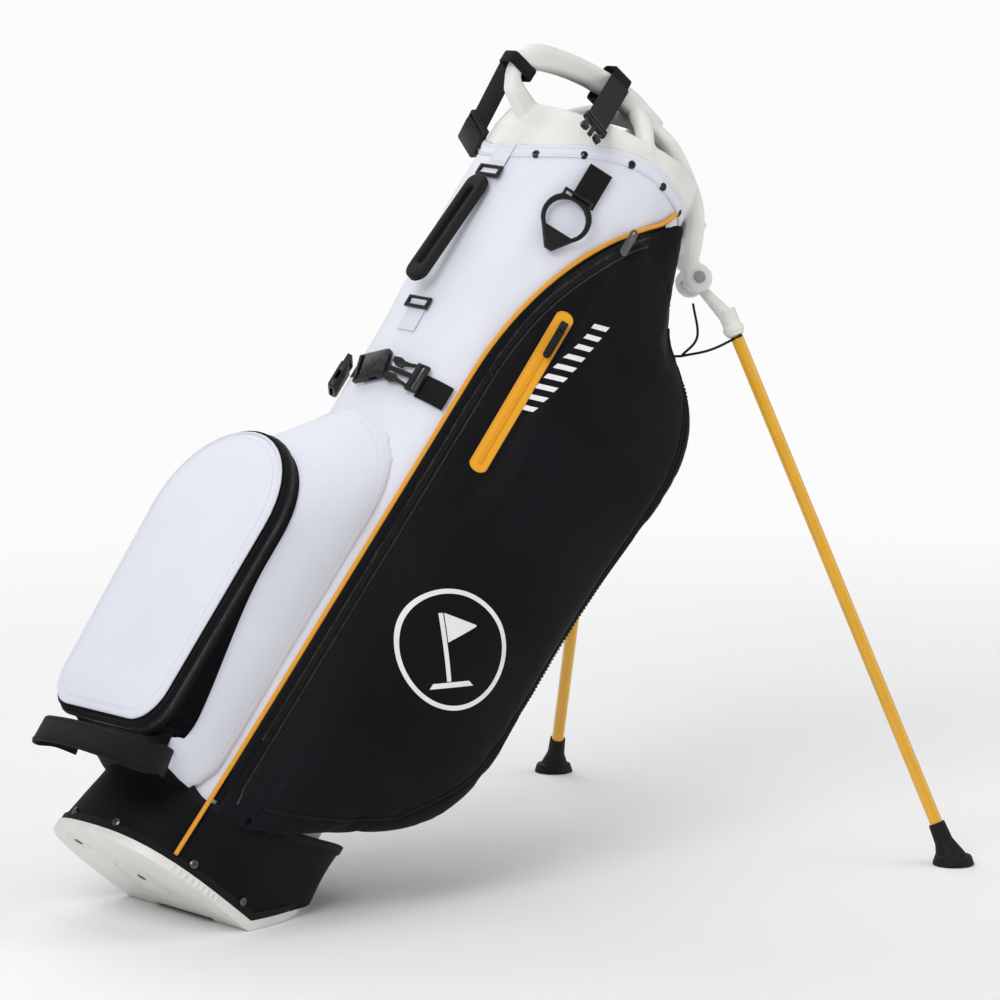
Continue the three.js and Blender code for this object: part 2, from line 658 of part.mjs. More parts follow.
// The pocket's body narrows and grows taller towards the tube.
const ROOT = { from: 70, meets: 105, half: 73, bottom: 62, top: 528 };
const bodyFront = FRONT_POCKET.face - 12;
const frontBody = warp(archBlock(0, ROOT.from, bodyFront, 0, 6), (vertex) => {
  const { half, bottom, top } = FRONT_POCKET;
  const out = THREE.MathUtils.clamp((-vertex.x - ROOT.meets) / (bodyFront - ROOT.meets), 0, 1);
  const share = shareUp(vertex.z);
  const low = THREE.MathUtils.lerp(ROOT.bottom, bottom, out);
  const high = THREE.MathUtils.lerp(ROOT.top, top, out);
  const narrow = FACE.narrow * (1 - share) * out;
  vertex.x += FACE.leanIn * (1 - share) * out;
  vertex.y *= THREE.MathUtils.lerp(ROOT.half / half, 1, Math.sqrt(out)) * (1 - narrow);
  vertex.z = low + share * (high - low);
});
piece('front_pocket_body', cut(frontBody, tubeSolid(GAP), bootSolid), whiteFabric);
const bandBack = bodyFront + GAP;
const bandFront = FRONT_POCKET.face + 6;
piece('front_pocket_band', archPlate(-2, bandBack, bandFront, 0), blackFabric);
piece('front_pocket_panel', archPlate(3, bandFront + GAP, bandFront + 9, 3), whiteFabric);

// ---------------------------------------------------------------- spine
const pad = plateXZ(capsule(100, 200), 22, 6, 8).rotateZ(Math.PI / 2).translate(76, 0, 470);
piece('spine_pad', cut(pad, tubeSolid(GAP)), blackFabric);

const rodPath = (side) => [
  point(ROD.x, side * (ROD.halfGap - 4), ROD.bottom),
  point(ROD.x, side * ROD.halfGap, ROD.bottom + 12),
  point(ROD.x, side * ROD.halfGap, 130),
  point(52, side * ROD.halfGap, 220),
  point(52, side * ROD.halfGap, ROD.top),
];
const crossHalf = ROD.halfGap - 3;
const crossbar = bar(
  point(ROD.x, -crossHalf, ROD.bottom),
  point(ROD.x, crossHalf, ROD.bottom),
  ROD.radius,
);
const rod = union(crossbar, cord(rodPath(-1), ROD.radius, 18, 3), cord(rodPath(1), ROD.radius, 18, 3));
piece('actuator_rod', rod, steel);

// ---------------------------------------------------------------- dividers
const DIVIDER = { low: 0.1, high: 0.92, hoop: 5, bar: 9, cloth: 2, from: 70 };
const hoopOuter = COLLAR.mouth - GAP;
const dividerBars = (thickness) => [
  box(TUBE_X - 110, TUBE_X + 96, -thickness / 2, thickness / 2, DIVIDER.from, 950),
  box(TUBE_X - thickness / 2, TUBE_X + thickness / 2, -95, 95, DIVIDER.from, 950),
];
const { low: hoopLow, high: hoopHigh } = DIVIDER;
const dividerSpace = collarRing([[0, hoopLow], [hoopOuter, hoopLow], [hoopOuter, hoopHigh], [0, hoopHigh]]);
const dividerHoop = collarRing([
  [hoopOuter, hoopLow],
  [hoopOuter, hoopHigh],
  [hoopOuter - DIVIDER.hoop, hoopHigh],
  [hoopOuter - DIVIDER.hoop, hoopLow],
]);
const dividerFrame = union(dividerHoop, common(union(...dividerBars(DIVIDER.bar)), dividerSpace));
piece('divider_frame', dividerFrame, blackPlastic);
const clothR = COLLAR.mouth - 1.5;
const clothLevels = [BOOT_TOP, 560, SLOPE_FROM, SLEEVE_TOP];
const clothSpace = sleeveForm(
  turned([[0, DIVIDER.from], ...wallAt(clothR, clothLevels), [0, SLEEVE_TOP]]),
  GAP,
);
piece('divider_cloth', common(union(...dividerBars(DIVIDER.cloth)), clothSpace), blackFabric);

// ---------------------------------------------------------------- carry handle
const GRIP = { angle: 5, low: 620, high: 750, width: 25, thickness: 10, slot: 96, stand: 9 };
const gripShape = capsule(GRIP.width, GRIP.high - GRIP.low);
const slotShape = capsule(8, GRIP.slot);
gripShape.holes.push(slotShape);
const grip = plateXZ(gripShape, GRIP.thickness, 2, 6).rotateZ(-Math.PI / 2);
const gripTilt = Math.atan((MOUTH.flare * TUBE_R * 0.9) / (GRIP.high - GRIP.low));
grip.rotateY(-gripTilt);
const gripMiddle = (GRIP.low + GRIP.high) / 2;
piece('carry_grip', onTube(grip, GRIP.angle, gripMiddle, GRIP.stand + GRIP.thickness / 2), blackRubber);

// A flat rectangular ring standing on its edge bar against the fabric.
function loopRing(width, height, rail, depth) {
  const outer = new THREE.Shape();
  outer.moveTo(-width / 2, -height / 2);
  outer.lineTo(width / 2, -height / 2);
  outer.lineTo(width / 2, height / 2);
  outer.lineTo(-width / 2, height / 2);
  const inner = new THREE.Path();
  inner.moveTo(-width / 2 + rail, -height / 2 + rail);
  inner.lineTo(-width / 2 + rail, height / 2 - rail);
  inner.lineTo(width / 2 - rail, height / 2 - rail);
  inner.lineTo(width / 2 - rail, -height / 2 + rail);
  outer.holes.push(inner);
  return plateXZ(outer, depth, 0.8).rotateZ(-Math.PI / 2);
}
for (const [name, z] of [['carry_ring_top', GRIP.high + 9], ['carry_ring_bottom', GRIP.low - 12]]) {
  piece(name, onTube(loopRing(31, 13, 3.5, 4), GRIP.angle, z, 4), blackPlastic);
}

// ---------------------------------------------------------------- towel ring
const webbingBox = (length, thickness = WEBBING_T) => new THREE.BoxGeometry(thickness, WEBBING, length);
const TOWEL = { angle: 60, top: 806, strap: 40, radius: 25, bar: 5, thickness: 4 };
const towelStrap = webbingBox(TOWEL.strap);
piece('towel_strap', onTube(towelStrap, TOWEL.angle, TOWEL.top - TOWEL.strap / 2, 4), blackFabric);
const ringShape = new THREE.Shape();
ringShape.moveTo(16, 27);
ringShape.lineTo(-16, 27);
ringShape.absarc(0, 0, TOWEL.radius, 0.72 * Math.PI, 1.25 * Math.PI);
ringShape.lineTo(-4, -TOWEL.radius - 12);
ringShape.lineTo(4, -TOWEL.radius - 12);
ringShape.absarc(0, 0, TOWEL.radius, 1.75 * Math.PI, 2.28 * Math.PI);
const ringHole = new THREE.Path();
ringHole.absarc(0, -1.5, TOWEL.radius - TOWEL.bar, -0.25 * Math.PI, 1.25 * Math.PI);
const webbingSlot = new THREE.Path();
webbingSlot.moveTo(-13, 21);
webbingSlot.lineTo(-13, 24.5);
webbingSlot.lineTo(13, 24.5);
webbingSlot.lineTo(13, 21);
ringShape.holes.push(ringHole, webbingSlot);
const towelRing = plateXZ(ringShape, TOWEL.thickness, 0.6, 8).rotateZ(-Math.PI / 2);
const towelDrop = TOWEL.top - TOWEL.strap - 22;
piece('towel_ring', onTube(towelRing, TOWEL.angle - 3, towelDrop, 7.6), blackPlastic);

// ---------------------------------------------------------------- buckles
// Side-release buckles lie flat: X is their thickness, Z their length, prongs and mouth towards -Z.
const BUCKLE_GAP = 2;
const BUCKLE = { width: 31, length: 30, thickness: 9, mouth: 20, femaleTop: 23, maleTop: 14 };
const femaleBuckle = () =>
  cut(
    union(
      new RoundedBoxGeometry(BUCKLE.thickness, BUCKLE.width, BUCKLE.length, 1, 2.5),
      box(-2.5, 2.5, -BUCKLE.width / 2, BUCKLE.width / 2, 8, BUCKLE.femaleTop),
    ),
    box(-1.6, 1.6, -BUCKLE.mouth / 2, BUCKLE.mouth / 2, -BUCKLE.length, 6),
    box(-10, 10, -WEBBING / 2 - 1, WEBBING / 2 + 1, BUCKLE.length / 2 + 1, BUCKLE.length / 2 + 5),
    box(-1.8, 1.8, -BUCKLE.width, BUCKLE.width, -6, 4),
  );
const prong = (side) => {
  const shape = new THREE.Shape();
  shape.moveTo(side * 10, 2);
  shape.lineTo(side * 13, 2);
  shape.quadraticCurveTo(side * 9, -12, side * 13.5, -18);
  shape.lineTo(side * 12, -26);
  shape.quadraticCurveTo(side * 3, -27, side * 4, -14);
  shape.lineTo(side * 7, -12);
  return shape;
};
const maleBuckle = () =>
  cut(
    union(
      new RoundedBoxGeometry(5.5, 30, 14, 1, 1.5).translate(0, 0, 7),
      new THREE.BoxGeometry(3, 4.5, 28).translate(0, 0, -12),
      ...[-1, 1].map((side) => plateXZ(prong(side), 3.4, 0, 3).rotateZ(Math.PI / 2)),
    ),
    box(-10, 10, -WEBBING / 2 - 0.6, WEBBING / 2 + 0.6, 5, 9.5),
  );

// Buckles that lie across the tube are turned so that their length runs around it.
const across = (geometry, tilt) => geometry.rotateX(Math.PI / 2 + THREE.MathUtils.degToRad(tilt));
const MID = { height: 528, lift: 7 };
piece('mid_buckle_female', onTube(across(femaleBuckle(), 20), 3, MID.height + 4, MID.lift), blackPlastic);
piece('mid_buckle_male', onTube(across(maleBuckle(), 180), 27, MID.height + 4, MID.lift), blackPlastic);
const midStrapArc = new THREE.EllipseCurve(0, 0, TUBE_R + 3, TUBE_R + 3, Math.PI * 1.185, Math.PI * 1.275);
const midStrap = extruded(stripShape(midStrapArc, WEBBING_T, 8), WEBBING);
piece('mid_strap', midStrap.translate(TUBE_X, 0, MID.height - WEBBING / 2), blackFabric);
piece('mid_buckle_far', onTube(femaleBuckle(), -46, MID.height, MID.lift + 4), blackPlastic);

// ---------------------------------------------------------------- shoulder strap anchors
// Each anchor is a webbing loop round the arch with a straight tail that ends in a buckle.
function frameAlong(from, to, widthway) {
  const up = from.clone().sub(to).normalize();
  const outward = widthway.clone().cross(up).normalize();
  const side = up.clone().cross(outward);
  return new THREE.Matrix4().makeBasis(outward, side, up).setPosition(from);
}
const LOOP_REACH = ARCH_WIDTH / 2 + GAP + WEBBING_T;
const LOOP_INSIDE = LOOP_REACH - WEBBING_T;
const anchors = [
  {
    side: 'near',
    loop: box(-83, -58, -LOOP_REACH, LOOP_REACH, 896, 938),
    hole: box(-95, -40, -LOOP_INSIDE, LOOP_INSIDE, 896 + WEBBING_T, 938 - WEBBING_T),
    from: point(-70, -LOOP_REACH + WEBBING_T / 2, 927),
    to: point(-129, -92, 838),
    widthway: point(-1, 0.4, 0.3),
    hardware: maleBuckle,
    reach: BUCKLE.maleTop,
  },
  {
    side: 'far',
    loop: box(-196, -161, -LOOP_REACH, LOOP_REACH, 857, 870),
    hole: box(-196 + WEBBING_T, -161 - WEBBING_T, -LOOP_INSIDE, LOOP_INSIDE, 800, 900),
    from: point(-182, LOOP_REACH - WEBBING_T / 2, 863),
    to: point(-141, 62, 824),
    widthway: point(-0.6, 0.25, 0.7),
    hardware: femaleBuckle,
    reach: BUCKLE.femaleTop,
  },
];
for (const { side, loop, hole, from, to, widthway, hardware, reach } of anchors) {
  const frame = frameAlong(from, to, widthway);
  const length = from.distanceTo(to);
  const tail = webbingBox(length).translate(0, 0, -length / 2).applyMatrix4(frame);
  piece(`strap_anchor_${side}`, cut(union(loop, tail), hole), blackFabric);
  const buckle = hardware().translate(0, 0, -length - reach - BUCKLE_GAP);
  piece(`anchor_buckle_${side}`, buckle.applyMatrix4(frame), blackPlastic);
}

// ---------------------------------------------------------------- leg cord and grab handle
const cordEnd = toBag(LEG_TOP).addScaledVector(hingeAxis, 12.5);
const otherSide = ({ x, y, z }) => point(x, -y, z);
const cordTie = point(131, -58, 741);
const cordHalf = [cordEnd, cordTie, point(118, -28, 727)];
const cordWay = [...cordHalf, point(112, 0, 723), ...cordHalf.map(otherSide).reverse()];
const cordBranch = cord([cordTie, point(128, -68, 762), point(104, -66, 786)], 1.3, 8, 3);
const legCord = union(cord(cordWay, 1.3, 30, 3), cordBranch, mirrored(cordBranch));
piece('leg_cord', legCord, blackRubber);

const handlePath = new THREE.CatmullRomCurve3([
  point(-139, 74, 0),
  point(-180, 84, 0),
  point(-208, 56, 0),
  point(-216, 0, 0),
  point(-208, -56, 0),
  point(-180, -84, 0),
  point(-139, -74, 0),
]);
const GRAB = { middle: 66, width: 27, thickness: 2.4 };
const grabStrip = stripShape(handlePath, GRAB.thickness, 30);
const grabHandle = extruded(grabStrip, GRAB.width).translate(0, 0, GRAB.middle - GRAB.width / 2);
piece('grab_handle', grabHandle, blackFabric);

// The origin is on the floor, in the middle of the object's footprint.
object.position.x = -new THREE.Box3().setFromObject(object).getCenter(new THREE.Vector3()).x;

export default object;
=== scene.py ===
"""Looks of a leaning golf stand bag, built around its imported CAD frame.

Shapes on the bag are written in the bag's own frame, in millimetres: X runs from the front pocket to
the spine, Y to the far side and Z up the bag's axis, with the heel ridge of the base at the origin.
"""

import json
import math

import bmesh
import bpy
import numpy as np
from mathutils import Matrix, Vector, noise
from mathutils.bvhtree import BVHTree


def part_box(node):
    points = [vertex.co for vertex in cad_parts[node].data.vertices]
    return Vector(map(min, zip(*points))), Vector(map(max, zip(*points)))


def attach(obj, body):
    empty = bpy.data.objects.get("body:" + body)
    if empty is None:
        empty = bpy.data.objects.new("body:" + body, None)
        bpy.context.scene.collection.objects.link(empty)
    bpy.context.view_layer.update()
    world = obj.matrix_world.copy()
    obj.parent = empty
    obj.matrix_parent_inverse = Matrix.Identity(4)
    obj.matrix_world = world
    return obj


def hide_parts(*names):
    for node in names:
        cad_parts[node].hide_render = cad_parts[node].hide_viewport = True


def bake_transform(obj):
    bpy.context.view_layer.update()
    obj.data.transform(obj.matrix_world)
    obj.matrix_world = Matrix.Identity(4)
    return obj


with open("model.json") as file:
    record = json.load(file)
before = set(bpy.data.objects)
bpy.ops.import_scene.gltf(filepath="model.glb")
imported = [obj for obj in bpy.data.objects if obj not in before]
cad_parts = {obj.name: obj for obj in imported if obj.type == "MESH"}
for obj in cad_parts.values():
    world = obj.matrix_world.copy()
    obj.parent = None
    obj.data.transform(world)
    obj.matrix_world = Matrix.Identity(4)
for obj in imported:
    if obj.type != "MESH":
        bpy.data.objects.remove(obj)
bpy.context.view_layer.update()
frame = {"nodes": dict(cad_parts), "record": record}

# --------------------------------- the bag's frame
MM = 0.001
LEAN = math.radians(39)
COS, SIN = math.cos(LEAN), math.sin(LEAN)
HEEL_FACE_X = 35 * MM  # the heel_rest mount lies this far behind the heel ridge
mounts = {mount["name"]: mount for mount in frame["record"]["mounts"]}
RIDGE_X = mounts["heel_rest"]["pos_m"][0] - HEEL_FACE_X


def place(x, y, z):
    """A point of the bag's frame, in the row frame in metres."""
    return Vector((RIDGE_X + (x * COS + z * SIN) * MM, y * MM, (z * COS - x * SIN) * MM))


def direction(x, y, z):
    return Vector((x * COS + z * SIN, y, z * COS - x * SIN)).normalized()


def to_bag(point):
    x, z = (point.x - RIDGE_X) / MM, point.z / MM
    return Vector((x * COS - z * SIN, point.y / MM, x * SIN + z * COS))


def floor_point(x, y, z):
    """A point measured from the heel ridge along the floor, in millimetres."""
    return Vector((RIDGE_X + x * MM, y * MM, z * MM))


def lerp(a, b, t):
    return a + (b - a) * t


def smooth(t):
    t = min(1.0, max(0.0, t))
    return t * t * (3 - 2 * t)


# --------------------------------- the tube's shape, as in the CAD model
TUBE_X, TUBE_R, WALL = -36, 100, 3.5
BASE_HALF_X, BASE_HALF_Y, BASE_POWER = 114, 99, 2.8
BOOT_R, BOOT_TOP, BOOT_SPREAD, BOOT_RISE, BOOT_DIP = 104.5, 95, 26, 34, 22
BASE_RIM, BASE_INSIDE = 9, 18
MOUTH_EDGE, MOUTH_FALL, MOUTH_RIM, RIM_SLOPE = 845, 0.0045, 868, 0.2


def oval(angle, inset=2):
    side = (abs(math.cos(angle)) / (BASE_HALF_X - inset)) ** BASE_POWER
    end = (abs(math.sin(angle)) / (BASE_HALF_Y - inset)) ** BASE_POWER
    return (side + end) ** (-1 / BASE_POWER)


def foot_scale(angle, z):
    return lerp(oval(angle) / BOOT_R, 1, smooth(z / BOOT_TOP))


def flare(z):
    return 1 + 0.1 * smooth((z - 560) / 180)


def mouth_height(level, x):
    behind = x - TUBE_X
    edge = MOUTH_EDGE - MOUTH_FALL * min(0, behind) ** 2
    return lerp(edge, MOUTH_RIM + RIM_SLOPE * behind, level)


def on_tube(angle, z, lift=0.0):
    """A point on the tube: degrees from the front (positive to the near side), height, distance out."""
    turn = math.pi + math.radians(angle)
    out = (TUBE_R + lift) * foot_scale(turn, z)
    x = out * math.cos(turn)
    if x < 0:
        x *= flare(z)
    return Vector((TUBE_X + x, out * math.sin(turn), z))


def heel_height(x, level):
    """Height of a level above the sole, which bends up along the floor behind the ridge."""
    return max(level, x * math.tan(LEAN) + level / math.cos(LEAN))


# --------------------------------- materials
class Shader:
    """A node material. Values given to its methods are numbers or the sockets of other nodes."""

    def __init__(self, name):
        self.material = bpy.data.materials.new(name)
        self.material.use_nodes = True
        self.tree = self.material.node_tree
        self.surface = self.tree.nodes["Principled BSDF"]

    def feed(self, socket, value):
        if isinstance(value, bpy.types.NodeSocket):
            self.tree.links.new(value, socket)
        else:
            socket.default_value = value

    def node(self, kind, out=0, props=None, **inputs):
        made = self.tree.nodes.new(kind)
        for key, value in (props or {}).items():
            setattr(made, key, value)
        for key, value in inputs.items():
            self.feed(made.inputs[key.replace("_", " ")], value)
        return made.outputs[out]

    def maths(self, operation, a, b=0.0):
        made = self.tree.nodes.new("ShaderNodeMath")
        made.operation = operation
        self.feed(made.inputs[0], a)
        self.feed(made.inputs[1], b)
        return made.outputs[0]

    def bag_coordinates(self):
        """Object coordinates turned into the bag's frame, in millimetres."""
        world = self.node("ShaderNodeTexCoord", out=3)
        turned = self.node("ShaderNodeMapping", Vector=world, Rotation=(0, -LEAN, 0))
        return self.node("ShaderNodeVectorMath", props={"operation": "SCALE"}, Vector=turned, Scale=1 / MM)

    def noise(self, vector, scale, detail=3.0, rough=0.5):
        return self.node(
            "ShaderNodeTexNoise", Vector=vector, Scale=scale, Detail=detail, Roughness=rough
        )

    def blend(self, factor, a, b):
        made = self.tree.nodes.new("ShaderNodeMix")
        made.data_type = "RGBA"
        self.feed(made.inputs[0], factor)
        self.feed(made.inputs[6], a)
        self.feed(made.inputs[7], b)
        return made.outputs[2]

    def ramp(self, value, low, high):
        return self.node("ShaderNodeMapRange", Value=value, From_Min=low, From_Max=high)

    def bump(self, height, strength, distance):
        normal = self.node("ShaderNodeBump", Height=height, Strength=strength, Distance=distance)
        self.feed(self.surface.inputs["Normal"], normal)

    def finish(self, **values):
        for key, value in values.items():
            self.feed(self.surface.inputs[key.replace("_", " ")], value)
        return self.material


def shade(colour, factor):
    return (*[min(1.0, c * factor) for c in colour], 1.0)


def woven(name, colour, pitch, depth, roughness, sheen, mottle, diagonal=False, shine=0.35):
    """Cloth: a weave in the bag's frame, soft colour variation and sheen."""
    s = Shader(name)
    co = s.bag_coordinates()
    split = s.tree.nodes.new("ShaderNodeSeparateXYZ")
    s.feed(split.inputs[0], co)
    x, y, z = split.outputs
    turn = 2 * math.pi / pitch
    around = s.maths("MULTIPLY", s.maths("ADD", x, y), turn)
    up = s.maths("MULTIPLY", z, turn)
    if diagonal:
        around, up = s.maths("ADD", around, up), s.maths("SUBTRACT", around, up)
    weave = s.maths("MULTIPLY", s.maths("SINE", around), s.maths("SINE", up))
    fine = s.noise(co, 1.3, 4)
    broad = s.noise(co, 0.012, 2)
    height = s.maths("ADD", s.maths("MULTIPLY", weave, 0.5), fine)
    tone = s.maths("ADD", s.ramp(broad, 0.3, 0.7), s.maths("MULTIPLY", weave, 0.25))
    base = s.blend(tone, shade(colour, 1 - mottle), shade(colour, 1 + mottle))
    s.bump(height, 0.55, depth * MM)
    rough = s.maths("ADD", s.maths("MULTIPLY", fine, 0.16), roughness - 0.08)
    s.finish(Base_Color=base, Roughness=rough, Specular_IOR_Level=shine)
    return s.finish(Sheen_Weight=sheen, Sheen_Roughness=0.45)


def ribbed(name, colour, pitch, depth, roughness, across=2.6, contrast=0.1):
    """Webbing and tape: ribs across the strip and fine lines along it, from the strip's UVs in mm."""
    s = Shader(name)
    uv = s.node("ShaderNodeTexCoord", out=2)
    split = s.tree.nodes.new("ShaderNodeSeparateXYZ")
    s.feed(split.inputs[0], uv)
    ribs = s.maths("SINE", s.maths("MULTIPLY", split.outputs[0], 2 * math.pi / pitch))
    lines = s.maths("SINE", s.maths("MULTIPLY", split.outputs[1], 2 * math.pi / across))
    weave = s.maths("ADD", s.maths("MULTIPLY", ribs, 0.6), s.maths("MULTIPLY", lines, 0.4))
    fibre = s.noise(s.bag_coordinates(), 2.0, 4)
    tone = s.maths("ADD", s.maths("MULTIPLY", weave, 0.35), fibre)
    s.bump(s.maths("ADD", weave, fibre), 0.6, depth * MM)
    base = s.blend(tone, shade(colour, 1 - contrast), shade(colour, 1 + contrast))
    return s.finish(Base_Color=base, Roughness=roughness, Sheen_Weight=0.04, Specular_IOR_Level=0.15)


def moulded(name, colour, roughness, grain=0.03, wear=0.25, coat=0.0, metallic=0.0, shine=0.5):
    """Moulded plastic, rubber, paint or metal: fine grain, uneven gloss and lighter worn edges."""
    s = Shader(name)
    co = s.bag_coordinates()
    fine = s.noise(co, 1.8, 3)
    broad = s.noise(co, 0.03, 3)
    geometry = s.tree.nodes.new("ShaderNodeNewGeometry")
    edge = s.ramp(geometry.outputs["Pointiness"], 0.52, 0.6)
    worn = s.maths("MULTIPLY", s.maths("MULTIPLY", edge, s.ramp(s.noise(co, 0.25, 4), 0.4, 0.7)), wear)
    base = s.blend(s.ramp(broad, 0.3, 0.7), shade(colour, 0.94), shade(colour, 1.04))
    base = s.blend(worn, base, (*[min(1, c * 0.6 + 0.3) for c in colour], 1))
    rough = s.maths("ADD", s.maths("MULTIPLY", broad, 0.14), roughness - 0.07)
    s.bump(fine, 0.35, grain * MM)
    s.finish(Base_Color=base, Roughness=rough, Metallic=metallic, Specular_IOR_Level=shine)
    return s.finish(Coat_Weight=coat, Coat_Roughness=0.12)


WHITE = (0.76, 0.78, 0.86)
OFF_WHITE = (0.80, 0.79, 0.755)
BLACK = (0.0060, 0.0058, 0.0080)
AMBER = (0.86, 0.40, 0.025)
DARK_WEBBING = (0.008, 0.008, 0.009)
DARK_PLASTIC = (0.009, 0.009, 0.010)
M = {
    "white_fabric": woven("white_coated_weave", WHITE, 1.5, 0.05, 0.55, 0.25, 0.02),
    "white_plastic": moulded("white_moulding", OFF_WHITE, 0.42, 0.04, 0.1),
    "black_fabric": woven("black_ballistic_weave", BLACK, 2.2, 0.16, 0.6, 0.01, 0.25, True, 0.09),
    "black_mesh": woven("black_mesh_weave", BLACK, 3.2, 0.5, 0.8, 0.03, 0.35, False, 0.15),
    "black_webbing": ribbed("black_webbing", DARK_WEBBING, 2.0, 0.35, 0.75, 2.6, 0.3),
    "white_webbing": ribbed("white_webbing", (0.74, 0.76, 0.82), 2.0, 0.2, 0.7, 2.6, 0.04),
    "black_plastic": moulded("black_moulding", DARK_PLASTIC, 0.38, 0.03, 0.1, shine=0.3),
    "black_rubber": moulded("black_rubber", DARK_PLASTIC, 0.6, 0.08, 0.06, shine=0.2),
    "orange_trim": ribbed("orange_piping", (0.80, 0.36, 0.035), 1.6, 0.12, 0.5),
    "amber_tape": ribbed("amber_zip_tape", AMBER, 1.4, 0.12, 0.5, 1.9),
    "yellow_paint": moulded("amber_paint", (0.82, 0.42, 0.02), 0.22, 0.006, 0.0, 0.6),
    "steel": moulded("plated_steel", (0.5, 0.51, 0.53), 0.3, 0.01, 0.2, 0.0, 1.0),
    "dark_steel": moulded("dark_steel", (0.12, 0.12, 0.125), 0.3, 0.01, 0.2, 0.0, 1.0),
    "white_print": moulded("white_print", (0.82, 0.82, 0.84), 0.5, 0.02, 0.0),
    "black_liner": woven("black_liner_weave", BLACK, 1.8, 0.08, 0.7, 0.02, 0.15, False, 0.1),
}


# --------------------------------- making pieces
def piece(name, mesh, material, body="bag", nodes=()):
    """Links a mesh as a named piece that rides on a body, and hides the CAD nodes that it takes the place
    of.
    """
    obj = bpy.data.objects.new(name, mesh)
    bpy.context.scene.collection.objects.link(obj)
    mesh.materials.clear()
    mesh.materials.append(M[material])
    if body:
        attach(obj, body)
    if nodes:
        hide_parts(*nodes)
    return obj


def mesh_of(points, faces, uvs=None, sharp=35):
    """A mesh from row-frame points. uvs has one (u, v) for each point."""
    mesh = bpy.data.meshes.new("mesh")
    mesh.from_pydata([tuple(p) for p in points], [], [tuple(f) for f in faces])
    mesh.validate()
    if uvs is not None:
        layer = mesh.uv_layers.new(name="strip").data
        loops = np.empty(len(mesh.loops), np.int32)
        mesh.loops.foreach_get("vertex_index", loops)
        layer.foreach_set("uv", np.asarray(uvs, np.float32)[loops].ravel())
    return shaded(mesh, sharp)


def shaded(mesh, sharp=35):
    tidy = bmesh.new()
    tidy.from_mesh(mesh)
    bmesh.ops.recalc_face_normals(tidy, faces=tidy.faces)
    tidy.to_mesh(mesh)
    tidy.free()
    mesh.shade_smooth()
    mesh.set_sharp_from_angle(angle=math.radians(sharp))
    return mesh


def grid(rows, close_across=True, close_along=False, caps=True):
    """Faces of a grid of points, given as rows of equal length."""
    count, wide = len(rows), len(rows[0])
    points = [p for row in rows for p in row]
    faces = []
    for i in range(count if close_along else count - 1):
        for j in range(wide if close_across else wide - 1):
            a, b = i * wide + j, i * wide + (j + 1) % wide
            c, d = ((i + 1) % count) * wide + (j + 1) % wide, ((i + 1) % count) * wide + j
            faces.append((a, b, c, d))
    if caps and not close_along:
        faces.append(tuple(range(wide))[::-1])
        faces.append(tuple((count - 1) * wide + j for j in range(wide)))
    return points, faces


def path(points, steps):
    """Evenly spaced points on a smooth curve through the given points."""
    pts = [Vector(p) for p in points]
    ends = [2 * pts[0] - pts[1], *pts, 2 * pts[-1] - pts[-2]]
    dense = []
    for i in range(1, len(ends) - 2):
        p0, p1, p2, p3 = ends[i - 1 : i + 3]
        for k in range(24):
            t = k / 24
            dense.append(
                0.5
                * (
                    2 * p1
                    + (p2 - p0) * t
                    + (2 * p0 - 5 * p1 + 4 * p2 - p3) * t * t
                    + (3 * p1 - p0 - 3 * p2 + p3) * t**3
                )
            )
    dense.append(pts[-1])
    return spaced(dense, steps)


def spaced(points, steps):
    """The same polyline with evenly spaced points."""
    pts = np.array([tuple(p) for p in points])
    length = np.concatenate([[0], np.cumsum(np.linalg.norm(np.diff(pts, axis=0), axis=1))])
    at = np.linspace(0, length[-1], steps + 1)
    return [Vector(v) for v in np.stack([np.interp(at, length, pts[:, k]) for k in range(3)], 1)]


def sweep(points, normals, profile, closed=False):
    """Carries a profile of (across, out) pairs in mm along row-frame points.

    Its UVs are mm along and across.
    """
    count = len(points)
    rows, uvs, run = [], [], 0.0
    around = [0.0]
    for a, b in zip(profile, profile[1:]):
        around.append(around[-1] + math.dist(a, b))
    for i, point in enumerate(points):
        before = points[i - 1] if i or closed else points[0]
        after = points[(i + 1) % count] if i < count - 1 or closed else points[-1]
        way = (after - before).normalized()
        normal = (normals[i] - way * normals[i].dot(way)).normalized()
        side = way.cross(normal)
        rows.append([point + (side * a + normal * o) * MM for a, o in profile])
        if i:
            run += (point - points[i - 1]).length / MM
        uvs += [(run, v) for v in around]
    verts, faces = grid(rows, True, closed, not closed)
    return mesh_of(verts, faces, uvs)


def turns(count):
    """Evenly spaced angles of a full turn, in radians."""
    return [2 * math.pi * k / count for k in range(count)]


def round_profile(radius, sides=12):
    return [(radius * math.cos(t), radius * math.sin(t)) for t in turns(sides)]


EDGE_FLAT = 0.35  # the share of a strip's thickness that its square edge keeps


def flat_profile(width, thickness, out=0.0):
    """A strip with rounded edges, lying at a distance out along the normal."""
    half, t = width / 2, thickness / 2
    edge = t * EDGE_FLAT
    shoulder = half - t * (1 - EDGE_FLAT * 0.2)
    return [
        (-half, out - edge), (-shoulder, out - t), (0, out - t), (shoulder, out - t),
        (half, out - edge), (half, out + edge), (shoulder, out + t), (0, out + t),
        (-shoulder, out + t), (-half, out + edge),
    ]  # fmt: skip


WEBBING = flat_profile(25, 1.8)
CORD_GUIDE = Vector((0.31, 0.9, 0.27))  # a direction that no cord or leg runs along


def cord(points, radius, sides):
    """A round cord through row-frame points."""
    return sweep(points, [CORD_GUIDE] * len(points), round_profile(radius, sides))


def join(*meshes):
    whole = bmesh.new()
    for mesh in meshes:
        whole.from_mesh(mesh)
    mesh = bpy.data.meshes.new("joined")
    whole.to_mesh(mesh)
    whole.free()
    mesh.shade_smooth()
    mesh.set_sharp_from_angle(angle=math.radians(35))
    return mesh


